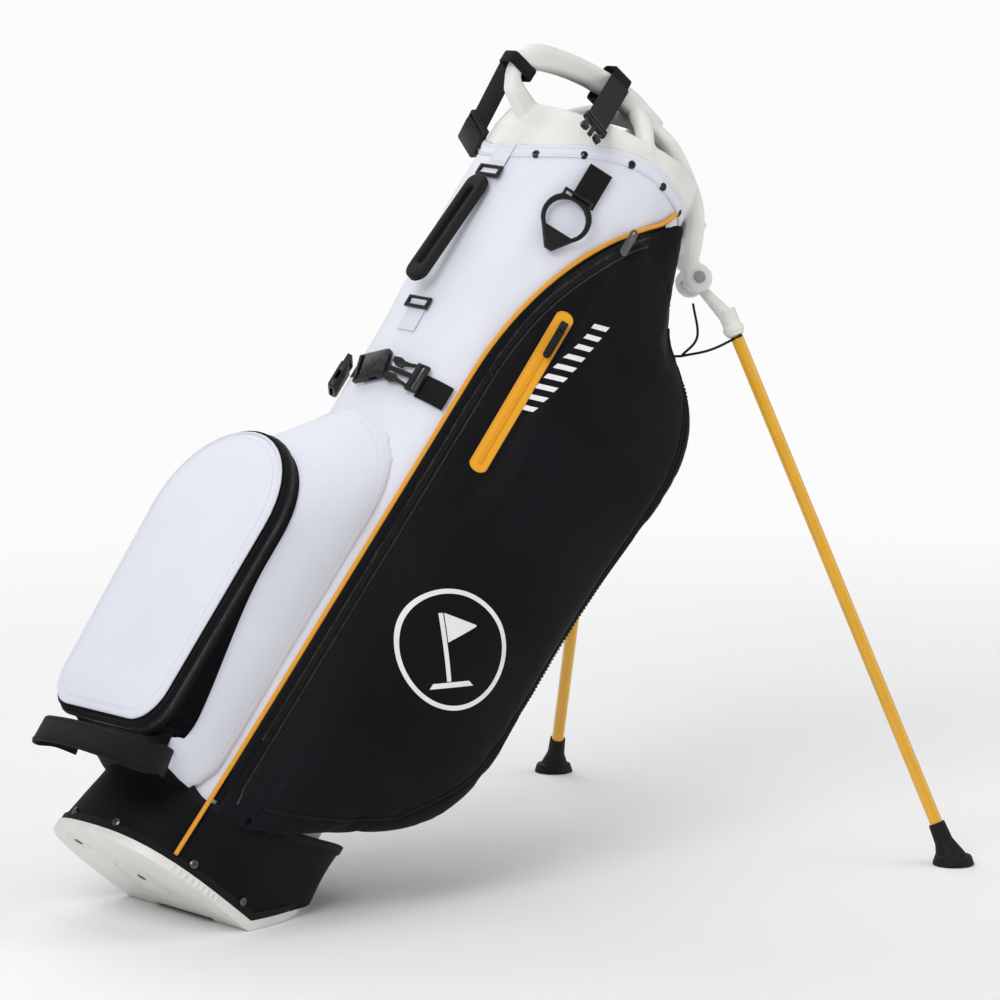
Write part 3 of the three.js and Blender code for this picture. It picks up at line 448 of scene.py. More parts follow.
def line_length(points):
    """The length of a polyline of row-frame points, in millimetres."""
    return sum((b - a).length for a, b in zip(points, points[1:])) / MM


# A stitch is a pointed bead. Its points are shares of its length along and of its width across and out.
STITCH_POINTS = (
    (-0.5, 0, -0.3), (0.5, 0, -0.3), (-0.25, -0.5, 0), (-0.25, 0.5, 0),
    (0.25, -0.5, 0), (0.25, 0.5, 0), (-0.2, 0, 0.5), (0.2, 0, 0.5), (0, 0, -0.6),
)  # fmt: skip
STITCH_FACES = (
    (0, 2, 6), (0, 6, 3), (2, 4, 7, 6), (3, 6, 7, 5), (4, 1, 7), (1, 5, 7),
    (0, 8, 2), (0, 3, 8), (2, 8, 4), (3, 5, 8), (4, 8, 1), (1, 8, 5),
)  # fmt: skip
STITCH_LIFT = 0.45


def stitches(points, normals, pitch=4.0, length=2.9, width=0.9):
    """A row of sewing stitches along a line."""
    count = max(2, int(line_length(points) / pitch))
    at, guide = spaced(points, count), spaced(normals, count)
    verts, faces = [], []
    for i in range(count):
        way = (at[i + 1] - at[i]).normalized()
        up = guide[i].normalized()
        side = way.cross(up).normalized()
        mid = (at[i] + at[i + 1]) / 2 + up * STITCH_LIFT * MM
        first = len(verts)
        for along, across, out in STITCH_POINTS:
            verts.append(mid + (way * along * length + side * across * width + up * out * width) * MM)
        faces += [tuple(first + n for n in face) for face in STITCH_FACES]
    return mesh_of(verts, faces)


def apply_modifiers(obj):
    bpy.context.view_layer.update()
    graph = bpy.context.evaluated_depsgraph_get()
    made = bpy.data.meshes.new_from_object(obj.evaluated_get(graph))
    old = obj.data
    obj.modifiers.clear()
    obj.data = made
    bpy.data.meshes.remove(old)


NODES = frame["nodes"]
WELD = 0.02


def cad_copy(node):
    """A welded copy of a CAD node's mesh with its flat faces joined again."""
    tidy = bmesh.new()
    tidy.from_mesh(NODES[node].data)
    bmesh.ops.remove_doubles(tidy, verts=tidy.verts, dist=WELD * MM)
    bmesh.ops.dissolve_limit(
        tidy, angle_limit=math.radians(1), verts=tidy.verts, edges=tidy.edges, delimit={"NORMAL"}
    )
    mesh = bpy.data.meshes.new(node)
    tidy.to_mesh(mesh)
    tidy.free()
    return mesh


def refined(node, name, material, body="bag", bevel=0.5):
    """A moulded piece: the CAD shape with its edges rounded."""
    obj = piece(name, cad_copy(node), material, body, (node,))
    round_off = obj.modifiers.new("bevel", "BEVEL")
    round_off.width = bevel * MM
    round_off.segments = 3
    round_off.limit_method = "ANGLE"
    round_off.angle_limit = math.radians(28)
    apply_modifiers(obj)
    obj.data.shade_smooth()
    obj.data.set_sharp_from_angle(angle=math.radians(40))
    return obj


def melted(node, name, material, body="bag", voxel=1.5, rounds=8):
    """A moulding whose parts flow into each other: the CAD shape remeshed and relaxed."""
    obj = piece(name, cad_copy(node), material, body, (node,))
    remesh = obj.modifiers.new("remesh", "REMESH")
    remesh.mode = "VOXEL"
    remesh.voxel_size = voxel * MM
    relax = obj.modifiers.new("relax", "CORRECTIVE_SMOOTH")
    relax.factor = 0.5
    relax.iterations = rounds
    relax.use_only_smooth = True
    relax.use_pin_boundary = False
    apply_modifiers(obj)
    obj.data.shade_smooth()
    return obj


# --------------------------------- tube, boot and their hems
SHELL_COLUMNS = 144


def shell(outer, inner):
    """A closed ring. outer and inner are functions of the angle that give a column of points."""
    rows = []
    for i in range(SHELL_COLUMNS):
        angle = 360 * i / SHELL_COLUMNS
        rows.append([place(*p) for p in outer(angle) + inner(angle)[::-1]])
    points, faces = grid(rows, True, True)
    return mesh_of(points, faces, sharp=60)


def creases(angle, z):
    """Soft upright folds of the tube's fabric, in mm, deeper near the mouth."""
    turn = math.radians(angle)
    at = Vector((math.cos(turn) * 1.9, math.sin(turn) * 1.9, z / 210))
    folds = noise.noise(at) + 0.5 * noise.noise(at * 2.3)
    ridge = 1 - abs(noise.noise(Vector((math.cos(turn) * 3.1, math.sin(turn) * 3.1, z / 120 + 9))))
    return folds * (1.2 + 1.4 * smooth((z - 560) / 200)) + 0.9 * ridge**6


SLEEVE_ROWS = 110


def sleeve_top(angle):
    """The height of the sleeve's edge above a place round the tube."""
    z = MOUTH_EDGE
    for _ in range(4):
        z = mouth_height(0, on_tube(angle, z).x)
    return z


def sleeve_column(angle, lift, wavy):
    top = sleeve_top(angle)
    bottom = heel_height(on_tube(angle, 20, lift).x, BASE_INSIDE + 1)
    column = []
    for k in range(SLEEVE_ROWS + 1):
        z = lerp(bottom, top, k / SLEEVE_ROWS)
        near_edge = min(1, (top - z) / 26)
        column.append(on_tube(angle, z, lift + (creases(angle, z) * near_edge if wavy else 0)))
    return column


piece(
    "tube_fabric",
    shell(lambda a: sleeve_column(a, -0.4, True), lambda a: sleeve_column(a, -WALL, False)),
    "white_fabric",
    nodes=("body_sleeve",),
)


def round_tube(height, lift, start=0, end=360, steps=150):
    """Points and outward normals round the tube. height is a function of the angle."""
    points, normals = [], []
    for i in range(steps + 1):
        angle = lerp(start, end, i / steps)
        z = height(angle)
        points.append(place(*on_tube(angle, z, lift)))
        turn = math.pi + math.radians(angle)
        normals.append(direction(math.cos(turn), math.sin(turn), 0))
    return points, normals


def ring_strip(name, height, lift, width, thickness, material):
    points, normals = round_tube(height, lift)
    mesh = sweep(points[:-1], normals[:-1], flat_profile(width, thickness), closed=True)
    return piece(name, mesh, material)


ring_strip("mouth_hem", lambda a: sleeve_top(a) - 5.5, 0.6, 13, 1.5, "white_fabric")
for row, drop in enumerate((2.4, 10.4)):
    points, normals = round_tube(lambda a: sleeve_top(a) - drop, 1.4, steps=240)
    piece(f"mouth_stitches_{row + 1}", stitches(points, normals, 3.6, 2.6, 0.7), "white_webbing")


def boot_back(x):
    """0 in front of the tube's middle, 1 at its back."""
    return smooth((x - TUBE_X) / TUBE_R)


def off_front(angle):
    """Degrees from the front of the tube, without the side."""
    return abs((angle + 180) % 360 - 180)


DIP_AT, DIP_WIDTH = 50, 17  # the top edge dips where the piping crosses it, in degrees


def boot_point(angle, share, lift=0.0):
    """A point on the boot: share runs from its foot (0) to its top edge (1)."""
    z = share * BOOT_TOP
    p = on_tube(angle, z, BOOT_R - TUBE_R + lift)
    back = boot_back(p.x)
    p.x += back * BOOT_SPREAD * share
    dip = math.exp(-(((off_front(angle) - DIP_AT) / DIP_WIDTH) ** 2))
    p.z += share * (back * BOOT_RISE - BOOT_DIP * dip)
    return p


def boot_foot(angle):
    """The share at which the boot meets the rim of the base."""
    low, high = 0.0, 0.95
    for _ in range(18):
        mid = (low + high) / 2
        p = boot_point(angle, mid)
        if p.z < heel_height(p.x, BASE_RIM + 0.6):
            low = mid
        else:
            high = mid
    return high


def boot_fold(angle, share):
    """A slack fold on each side, where the boot's fabric is gathered behind the tube."""
    middle = 132 + 16 * (1 - share)
    across = (off_front(angle) - middle) / 11
    return 5.5 * math.exp(-(across**2)) * smooth(1.3 * (1 - share))


def boot_column(angle, lift, wavy):
    foot = boot_foot(angle)
    column = []
    for k in range(31):
        share = lerp(foot, 1, k / 30)
        turn = math.radians(angle)
        wave = 1.6 * noise.noise(Vector((math.cos(turn) * 2.4, math.sin(turn) * 2.4, share * 1.7)))
        wave += boot_fold(angle, share)
        column.append(boot_point(angle, share, lift + (wave * math.sin(math.pi * share) if wavy else 0)))
    return column


piece(
    "boot_fabric",
    shell(lambda a: boot_column(a, 0, True), lambda a: boot_column(a, -3.2, False)),
    "black_fabric",
    nodes=("boot",),
)
BOOT_SHARES = {
    "boot_foot_binding": lambda a: lerp(boot_foot(a), 1, 0.04),
    "boot_top_binding": lambda a: 0.985,
}
for name, share in BOOT_SHARES.items():
    at = [boot_point(2.4 * i, share(2.4 * i), 0.3) for i in range(150)]
    out = [direction(p.x - TUBE_X, p.y, 0) for p in at]
    strip = sweep([place(*p) for p in at], out, flat_profile(8, 1.8), closed=True)
    piece(name, strip, "black_webbing")

# --------------------------------- side pockets
# The outer face is flat behind SWELL_TOP and rounds off towards the front edge.
POCKET_OUTSIDE, POCKET_EDGE, SWELL_TOP, SWELL_SPAN, SWELL_POWER = 152, 84, 80, 179, 2.2


def bezier(p0, p1, p2, p3, steps):
    out = []
    for k in range(steps):
        t = k / steps
        a, b, c, d = (1 - t) ** 3, 3 * t * (1 - t) ** 2, 3 * t * t * (1 - t), t**3
        out.append(tuple(a * w + b * x + c * y + d * z for w, x, y, z in zip(p0, p1, p2, p3)))
    return out


def front_edge():
    """The front edge of a side pocket lies along the piping, as (x, z) pairs."""
    curve = bezier((-93, 560), (-92, 649), (-76, 733), (-4, 804), 24)
    return [(-97, 62), (-96, 200), (-93, 560)] + curve[1:] + [(-4, 804), (9, 821)]


def pocket_outline():
    """The pocket's outline in X and Z, as in the CAD model but for the front edge."""
    line = front_edge() + [(20, 824)]
    line += bezier((20, 824), (30, 800), (46, 750), (62, 718), 12)[1:]
    line += bezier((62, 718), (125, 672), (150, 650), (142, 560), 20)
    line += bezier((142, 560), (128, 440), (127, 400), (127, 300), 16)
    line += bezier((127, 300), (127, 215), (95, 172), (52, 142), 16)
    line += [(52, 142), (-35, 86)]
    line += bezier((-35, 86), (-62, 69), (-81, 62), (-97, 62), 8)[1:]
    return line + [(-97, 62)]


THIN_FROM, THIN_OVER, THIN_OUT = 660, 160, 108


def pocket_out(x, z=0):
    """How far the outer face stands from the middle plane. It thins out towards the top."""
    short = max(0, SWELL_TOP - x) / SWELL_SPAN
    out = POCKET_OUTSIDE - (POCKET_OUTSIDE - POCKET_EDGE) * short**SWELL_POWER
    return lerp(out, min(out, THIN_OUT), smooth((z - THIN_FROM) / THIN_OVER))


def tube_side(x, z):
    """How far out the tube or the boot reaches at a place along X, or 0 beside it."""
    radius = TUBE_R + 0.8
    if z < BOOT_TOP + BOOT_RISE * boot_back(x) + 2:
        radius = BOOT_R + 1.6
    reach = (x - TUBE_X) / (radius * (flare(z) if x < TUBE_X else 1))
    return radius * math.sqrt(max(0.0, 1 - reach * reach))


TUCK = 6  # the pocket's front edge is tucked this far into the tube's wall


def pocket_in(x, z):
    tucked = tube_side(x, z) + lerp(-TUCK, 0.5, smooth((x + 80) / 24))
    return max(lerp(60, 100, smooth((x + 10) / 60)), tucked)


AROUND, ACROSS = 200, 44
SHRINK = 3.0  # room that the cloth takes up when it is blown up
LEAST_THICK = 2.5
POCKET_MIDDLE = Vector((10, 0, 430))


def pocket_pillow():
    edge = spaced([Vector((x, 0, z)) for x, z in pocket_outline()], AROUND)[:-1]
    rows = []
    for i in range(1, ACROSS):
        rise = math.cos(math.pi * i / ACROSS)
        spread = math.sqrt(1 - rise * rise) ** 0.5
        side = math.copysign(abs(rise) ** 0.5, rise)
        row = []
        for rim in edge:
            p = POCKET_MIDDLE.lerp(rim, spread)
            inner = pocket_in(p.x, p.z)
            least = max(tube_side(p.x, p.z), inner) + LEAST_THICK
            outer = max(pocket_out(p.x, p.z) - SHRINK, least)
            row.append(place(p.x, -lerp(inner, outer, (side + 1) / 2), p.z))
        rows.append(row)
    points, faces = grid(rows)
    return mesh_of(points, faces)


def coordinates(mesh):
    co = np.empty(len(mesh.vertices) * 3)
    mesh.vertices.foreach_get("co", co)
    return co.reshape(-1, 3)


CLOTH_STEPS, CLOTH_PRESSURE = 20, 4.0


def puff(obj, cap, hold, voxel=5.0):
    """Blows a closed cloth up.

    No point moves further than cap, and the points where hold is true don't move.
    """
    remesh = obj.modifiers.new("remesh", "REMESH")
    remesh.mode = "VOXEL"
    remesh.voxel_size = voxel * MM
    apply_modifiers(obj)
    before = coordinates(obj.data)
    group = obj.vertex_groups.new(name="held")
    held = [i for i, co in enumerate(before) if hold(to_bag(Vector(co)))]
    group.add(held, 1.0, "REPLACE")
    cloth = obj.modifiers.new("cloth", "CLOTH")
    cloth.settings.vertex_group_mass = "held"
    cloth.settings.use_pressure = True
    cloth.settings.uniform_pressure_force = CLOTH_PRESSURE
    cloth.settings.effector_weights.gravity = 0
    cloth.settings.quality = 4
    cloth.settings.tension_stiffness = 25
    cloth.settings.compression_stiffness = 8
    cloth.settings.bending_stiffness = 0.4
    cloth.collision_settings.use_collision = False
    for step in range(1, CLOTH_STEPS + 1):
        bpy.context.scene.frame_set(step)
    apply_modifiers(obj)
    bpy.context.scene.frame_set(1)
    after = coordinates(obj.data)
    if len(after) == len(before):
        move = after - before
        size = np.linalg.norm(move, axis=1, keepdims=True)
        after = before + move * np.minimum(1, cap * MM / np.maximum(size, 1e-9))
        obj.data.vertices.foreach_set("co", after.ravel())
    obj.vertex_groups.clear()
    finer = obj.modifiers.new("subdivide", "SUBSURF")
    finer.levels = finer.render_levels = 1
    apply_modifiers(obj)
    obj.data.shade_smooth()


OUTER_FACE = 86  # a side pocket's outer face is everything further from the middle plane


def groove(mesh, line, depth, width, side):
    """Presses a sewn line into the outer face of a side pocket. line holds (x, z) pairs."""
    co = coordinates(mesh)
    bag = np.array([tuple(to_bag(Vector(c))) for c in co])
    pts = np.array(line, float)
    best = np.full(len(bag), 1e9)
    for a, b in zip(pts, pts[1:]):
        span = b - a
        t = np.clip(((bag[:, [0, 2]] - a) @ span) / max(1e-9, span @ span), 0, 1)
        best = np.minimum(best, np.linalg.norm(bag[:, [0, 2]] - a - t[:, None] * span, axis=1))
    outer = bag[:, 1] * side > OUTER_FACE
    push = depth * np.exp(-((best / width) ** 2)) * outer
    co[:, 1] -= side * push * MM
    mesh.vertices.foreach_set("co", co.ravel())
    mesh.update()


def flat_line(points, steps=60):
    """A smooth line of (x, z) pairs."""
    return [(p.x, p.z) for p in path([Vector((x, 0, z)) for x, z in points], steps)]


def inset_line(distance, start, stop):
    """The pocket's front edge moved back by a distance, between two heights, as (x, z) pairs."""
    pts = flat_line(front_edge()[:-1], 160)
    out = []
    for a, b in zip(pts, pts[1:]):
        way = Vector((b[0] - a[0], b[1] - a[1])).normalized()
        x, z = a[0] + way.y * distance, a[1] - way.x * distance
        if start < z < stop:
            out.append((x, z))
    return out


ZIP_X, ZIP_LOW, ZIP_HIGH, ZIP_WIDTH = -56, 482, 664, 13
GUSSET_SEAM = flat_line([(-30, 786), (-8, 776), (16, 757), (40, 742)], 30)
REAR_SEAM = flat_line(
    [(52, 726), (98, 668), (122, 600), (116, 480), (110, 330), (98, 238), (48, 162)], 90
)
FOOT_SEAM = flat_line([(-62, 96), (-40, 106), (10, 134), (48, 162)], 40)
ZIP_LINE = inset_line(6.5, 150, 786)
BLACK_SEAM = inset_line(13.5, 84, 778)


def hold_pocket(p):
    """The cloth is sewn down along the tube and beside the valuables zip."""
    inside = abs(p.y) < pocket_in(p.x, p.z) + 3
    by_zip = abs(p.x - ZIP_X) < 13 and ZIP_LOW - 15 < p.z < ZIP_HIGH + 15
    return inside or by_zip or p.x < -84


near_pocket = piece(
    "side_pocket_near_cloth", pocket_pillow(), "black_fabric", nodes=("side_pocket_near",)
)
puff(near_pocket, 7, hold_pocket, voxel=4.0)
mirror = near_pocket.data.copy()
far_co = coordinates(mirror)
far_co[:, 1] *= -1
mirror.vertices.foreach_set("co", far_co.ravel())
mirror.flip_normals()
far_pocket = piece("side_pocket_far_cloth", mirror, "black_fabric", nodes=("side_pocket_far",))
GROOVES = (
    (ZIP_LINE, 1.2, 5),
    (BLACK_SEAM, 1.4, 3),
    (REAR_SEAM, 2.2, 4),
    (FOOT_SEAM, 1.8, 4),
    (GUSSET_SEAM, 1.6, 3),
)
for cloth, side in ((near_pocket, -1), (far_pocket, 1)):
    for line, depth, width in GROOVES:
        groove(cloth.data, line, depth, width, side)

# The valuables zip lies in a shallow flat channel, so the slider runs clear of the cloth.
near_co = coordinates(near_pocket.data)
for i, co in enumerate(near_co):
    p = to_bag(Vector(co))
    if p.y > -OUTER_FACE:
        continue
    along = smooth((p.z - ZIP_LOW + 16) / 10) * smooth((ZIP_HIGH + 16 - p.z) / 10)
    beside = smooth((15 - abs(p.x - ZIP_X)) / 6)
    level = pocket_out(p.x, p.z) - 1.4
    if -p.y > level:
        near_co[i][1] += (-p.y - level) * along * beside * MM
near_pocket.data.vertices.foreach_set("co", near_co.ravel())
near_pocket.data.update()


def surface_of(obj):
    mesh = obj.data
    points = [v.co.copy() for v in mesh.vertices]
    return BVHTree.FromPolygons(points, [tuple(f.vertices) for f in mesh.polygons])


skins = {-1: surface_of(near_pocket), 1: surface_of(far_pocket)}


def on_pocket(x, z, side, lift=0.0):
    """The point and normal of a side pocket's outer face."""
    start = place(x, side * 260, z)
    hit, normal, _, _ = skins[side].ray_cast(start, Vector((0, -side, 0)))
    if hit is None:
        hit, normal, _, _ = skins[side].find_nearest(place(x, side * pocket_out(x, z), z))
    if normal.y * side < 0:
        normal = -normal
    return hit + normal * lift * MM, normal


def line_on_pocket(line, side, lift):
    """The points and the normals of a line of (x, z) pairs laid on a side pocket."""
    hits = [on_pocket(x, z, side, lift) for x, z in line]
    return [h for h, _ in hits], [n for _, n in hits]


def pocket_stitches(name, line, side, offset):
    """A row of stitches beside a line, moved off it by a distance."""
    beside = []
    for a, b in zip(line, line[1:]):
        way = Vector((b[0] - a[0], b[1] - a[1])).normalized()
        beside.append((a[0] + way.y * offset, a[1] - way.x * offset))
    piece(name, stitches(*line_on_pocket(beside, side, 0.2)), "black_webbing")


# A tooth of a zip's coil. Its points are shares of the pitch along, the width across and the height.
TOOTH_POINTS = (
    (-0.38, -0.5, 0.2), (0.38, -0.5, 0.2), (0.38, 0.5, 0.2), (-0.38, 0.5, 0.2),
    (-0.3, -0.3, 1.0), (0.3, -0.3, 1.0), (0.3, 0.3, 1.0), (-0.3, 0.3, 1.0),
)  # fmt: skip
TOOTH_FACES = (
    (0, 3, 2, 1), (4, 5, 6, 7), (0, 1, 5, 4), (1, 2, 6, 5), (2, 3, 7, 6), (3, 0, 4, 7),
)  # fmt: skip
TOOTH_HEIGHT = 1.7


def zip_coil(points, normals, width=4.2, pitch=2.1):
    """The closed coil of a zip: a ridge with small teeth across it."""
    ridge = sweep(points, normals, flat_profile(width * 0.62, 1.5, 0.5))
    count = int(line_length(points) / pitch)
    at, up = spaced(points, count), spaced(normals, count)
    verts, faces = [], []
    for i in range(count):
        way = (at[i + 1] - at[i]).normalized()
        out = up[i].normalized()
        across = way.cross(out).normalized()
        first = len(verts)
        for along, side, high in TOOTH_POINTS:
            reach = way * along * pitch + across * side * width + out * high * TOOTH_HEIGHT
            verts.append(at[i] + reach * MM)
        faces += [tuple(first + n for n in face) for face in TOOTH_FACES]
    return join(ridge, mesh_of(verts, faces))


# Each raised seam: name, line, radius, lift and material.
POCKET_SEAMS = (
    ("front", BLACK_SEAM, 1.3, 0.2, "black_plastic"),
    ("rear", REAR_SEAM, 1.5, 0.1, "black_webbing"),
    ("foot", FOOT_SEAM, 1.5, 0.1, "black_webbing"),
    ("gusset", GUSSET_SEAM, 1.2, 0.1, "black_webbing"),
)
SIDES = ((-1, "near"), (1, "far"))
for side, word in SIDES:
    points, normals = line_on_pocket(ZIP_LINE, side, 0.1)
    piece(f"pocket_zip_tape_{word}", sweep(points, normals, flat_profile(12, 0.9)), "black_webbing")
    piece(f"pocket_zip_coil_{word}", zip_coil(points, normals), "black_plastic")
    for seam, line, radius, lift, material in POCKET_SEAMS:
        points, normals = line_on_pocket(line, side, lift)
        piece(f"pocket_{seam}_seam_{word}", sweep(points, normals, round_profile(radius, 8)), material)
    pocket_stitches(f"pocket_rear_stitches_{word}", REAR_SEAM, side, -5)
    pocket_stitches(f"pocket_front_stitches_{word}", BLACK_SEAM, side, 4)

# --------------------------------- piping
PIPING_R = 2.2
# A black welt covers the join between the piping and the pocket. It ends inside the boot.
WELT_SHIFT, WELT_LOW = 5, BOOT_TOP - 14


def piping_line():
    """The piping's own line in X and Z: up the front corner, then curving back to the spine."""
    line = [(-100, 16), (-98, 200), (-95, 560)]
    line += bezier((-95, 560), (-94, 650), (-78, 735), (-6, 806), 16)[1:]
    line += [(-6, 806), (0, 813), (5, 821), (8, 830)]
    return spaced([Vector((x, 0, z)) for x, z in line], 150)


def beside_tube(x, z, side, height, lift):
    """The place and the outward normal over a place (x, z) of the tube. height is where it lies."""
    stretch = flare(z) if x < TUBE_X else 1
    angle = -side * math.degrees(math.acos((TUBE_X - x) / (TUBE_R * stretch)))
    at = on_tube(angle, height, lift)
    return place(*at), direction(at.x - TUBE_X, at.y, 0)


for side, word in SIDES:
    cords, welts = [], []
    for p in piping_line():
        over_boot = (BOOT_R - TUBE_R) * (1 - smooth((p.z - BOOT_TOP - 3) / 24))
        cords.append(beside_tube(p.x, p.z, side, p.z, over_boot + PIPING_R + 0.8))
    for p in piping_line()[4:-4]:
        welts.append(beside_tube(p.x + WELT_SHIFT, p.z, side, max(p.z, WELT_LOW), 2.2))
    mesh = sweep([at for at, _ in cords], [out for _, out in cords], round_profile(PIPING_R))
    piece(f"piping_cord_{word}", mesh, "orange_trim", nodes=(f"piping_{word}",))
    mesh = sweep([at for at, _ in welts], [out for _, out in welts], flat_profile(10, 2.6))
    piece(f"pocket_welt_{word}", mesh, "black_fabric")

# --------------------------------- valuables zip
def capsule_sheet(width, low, high, lift, thickness):
    """A flat capsule laid on the near pocket, as a closed thin sheet."""
    steps, radius = 60, width / 2
    columns = [k / 4 - 1 for k in range(9)]
    rows = []
    for i in range(steps + 1):
        z = lerp(low, high, i / steps)
        end = max(0.0, low + radius - z, z - (high - radius))
        half = max(0.6, math.sqrt(max(0.0, radius**2 - end**2)))
        row = [on_pocket(ZIP_X + half * c, z, -1, lift + thickness)[0] for c in columns]
        row += [on_pocket(ZIP_X + half * c, z, -1, lift)[0] for c in columns[::-1]]
        rows.append(row)
    points, faces = grid(rows)
    uvs = []
    for i in range(steps + 1):
        uvs += [((high - low) * i / steps, k * width / 8) for k in range(18)]
    return mesh_of(points, faces, uvs)


tape = capsule_sheet(ZIP_WIDTH, ZIP_LOW, ZIP_HIGH, 0.1, 1.0)
piece("valuables_tape", tape, "amber_tape", nodes=("valuables_zip",))
zip_run = [(ZIP_X, lerp(ZIP_LOW + 8, ZIP_HIGH - 8, k / 40)) for k in range(41)]
points, normals = line_on_pocket(zip_run, -1, 0.3)
lifted = [p + n * 0.9 * MM for p, n in zip(points, normals)]
piece("valuables_coil", zip_coil(lifted, normals, 3.0, 1.9), "amber_tape")


def capsule_rim(wide, radius, low, high, count):
    """The outline of a capsule, as (across, height) pairs. Its sides stand wide from its middle."""
    middle, straight = (low + high) / 2, (high - low) / 2
    rim = []
    for turn in turns(count):
        up = math.copysign(straight, math.cos(turn)) + radius * math.cos(turn)
        rim.append((wide * math.sin(turn), middle + up))
    return rim


END_R = ZIP_WIDTH / 2
rim = capsule_rim(END_R + 0.6, END_R, ZIP_LOW + END_R, ZIP_HIGH - END_R, 80)
points, normals = line_on_pocket([(ZIP_X + x, z) for x, z in rim], -1, 0.6)
binding = sweep(points, normals, round_profile(1.0, 8), closed=True)
piece("valuables_binding", binding, "orange_trim")
refined("valuables_slider", "valuables_slider_body", "black_plastic", "valuables_slider", 0.7)
refined("valuables_puller", "valuables_pull_tab", "black_rubber", "valuables_puller", 0.4)
refined("apparel_puller", "apparel_pull_tab", "dark_steel", "apparel_puller", 0.4)

# --------------------------------- front pocket
FP_HALF, FP_BOTTOM, FP_TOP, FP_CORNER = 92, 96, 402, 34
FP_MIDDLE = (FP_BOTTOM + FP_TOP) / 2
FACE_NARROW, FACE_LEAN = 0.11, 12
ROOT_MEETS, ROOT_HALF, ROOT_BOTTOM, ROOT_TOP = 105, 73, 62, 528
BODY_FRONT, BAND_FRONT = 198, 216


def share_up(z):
    return (z - FP_BOTTOM) / (FP_TOP - FP_BOTTOM)


def arch_outline(inset, count=120):
    """The pocket's outline as (y, z) pairs: round at the top, with rounded corners below."""
    side, low, corner = FP_HALF - inset, FP_BOTTOM + inset, FP_CORNER - inset / 2
    spring = FP_TOP - inset - side
    line = []
    for k in range(25):
        turn = math.pi * k / 24
        line.append((side * math.cos(turn), spring + side * math.sin(turn)))
    for centre, start in ((corner - side, math.pi), (side - corner, 1.5 * math.pi)):
        for k in range(9):
            turn = start + math.pi / 2 * k / 8
            line.append((centre + corner * math.cos(turn), low + corner + corner * math.sin(turn)))
    line.append(line[0])
    return [(p.x, p.z) for p in spaced([Vector((y, 0, z)) for y, z in line], count)[:-1]]


def face_point(y, z, out):
    """A place on the pocket's face, which narrows and leans in towards the bottom."""
    down = 1 - share_up(z)
    return place(FACE_LEAN * down - out, y * (1 - FACE_NARROW * down), z)


def tube_front(y, z):
    """How far in front of the heel ridge the tube's surface is, beside the middle plane."""
    radius = BOOT_R + 1.5 if z < BOOT_TOP + 3 else TUBE_R + 0.8
    return 36 + math.sqrt(max(0, radius**2 - y**2)) * flare(z)


def body_point(y, z, t):
    """The white gusset between the tube (t = 0) and the band (t = 1)."""
    share = share_up(z)
    root_y = y * ROOT_HALF / FP_HALF
    start = tube_front(root_y, lerp(ROOT_BOTTOM, ROOT_TOP, share)) - TUCK
    d = lerp(start, BODY_FRONT, t)
    out = min(1, max(0, (d - ROOT_MEETS) / (BODY_FRONT - ROOT_MEETS)))
    low, high = lerp(ROOT_BOTTOM, FP_BOTTOM, out), lerp(ROOT_TOP, FP_TOP, out)
    wide = lerp(ROOT_HALF / FP_HALF, 1, math.sqrt(out)) * (1 - FACE_NARROW * (1 - share) * out)
    return Vector((FACE_LEAN * (1 - share) * out - d, y * wide, low + share * (high - low)))


def body_shell(steps=18):
    line = arch_outline(1)
    rows = []
    for s in (0.1, 0.4, 0.7, 0.9):
        row = []
        for y, z in line:
            p = body_point(y * s, lerp(FP_MIDDLE, z, s), 0)
            row.append(place(TUCK - tube_front(p.y, p.z), p.y, p.z))
        rows.append(row)
    rows += [[place(*body_point(y, z, k / steps)) for y, z in line] for k in range(steps + 1)]
    for s in (0.9, 0.6, 0.2):
        rows.append([place(*body_point(y * s, lerp(FP_MIDDLE, z, s), 1)) for y, z in line])
    points, faces = grid(rows)
    return mesh_of(points, faces)


def hold_body(p):
    near_tube = -p.x < tube_front(p.y, p.z) + 5
    return near_tube or -p.x > BODY_FRONT - 26 or abs(p.y) < 8


front_body = piece("front_pocket_gusset", body_shell(), "white_fabric", nodes=("front_pocket_body",))
puff(front_body, 5, hold_body)

# The boot's fabric rises in front to cover the foot of the pocket.
APRON_EDGE = [(-196, 140), (-177, 112), (-168, 94), (-154, 84), (-131, 79), (-90, 76)]
APRON_PARTS = list(zip(APRON_EDGE, APRON_EDGE[1:]))


def above_apron(p):
    return all((p.z - za) * (xb - xa) > (p.x - xa) * (zb - za) for (xa, za), (xb, zb) in APRON_PARTS)


def apron_mesh():
    """The lower faces of the pocket's gusset, cut along the apron's top edge."""
    skin = bmesh.new()
    skin.from_mesh(front_body.data)
    for (xa, za), (xb, zb) in APRON_PARTS:
        normal = direction(za - zb, 0, xb - xa)
        everything = skin.verts[:] + skin.edges[:] + skin.faces[:]
        bmesh.ops.bisect_plane(skin, geom=everything, plane_co=place(xa, 0, za), plane_no=normal)
    above = [face for face in skin.faces if above_apron(to_bag(face.calc_center_median()))]
    bmesh.ops.delete(skin, geom=above, context="FACES")
    mesh = bpy.data.meshes.new("apron")
    skin.to_mesh(mesh)
    skin.free()
    return mesh


apron = piece("boot_apron", apron_mesh(), "black_fabric")
thicken = apron.modifiers.new("thicken", "SOLIDIFY")
thicken.thickness = 3.2 * MM
thicken.offset = 0
apply_modifiers(apron)
apron.data.shade_smooth()

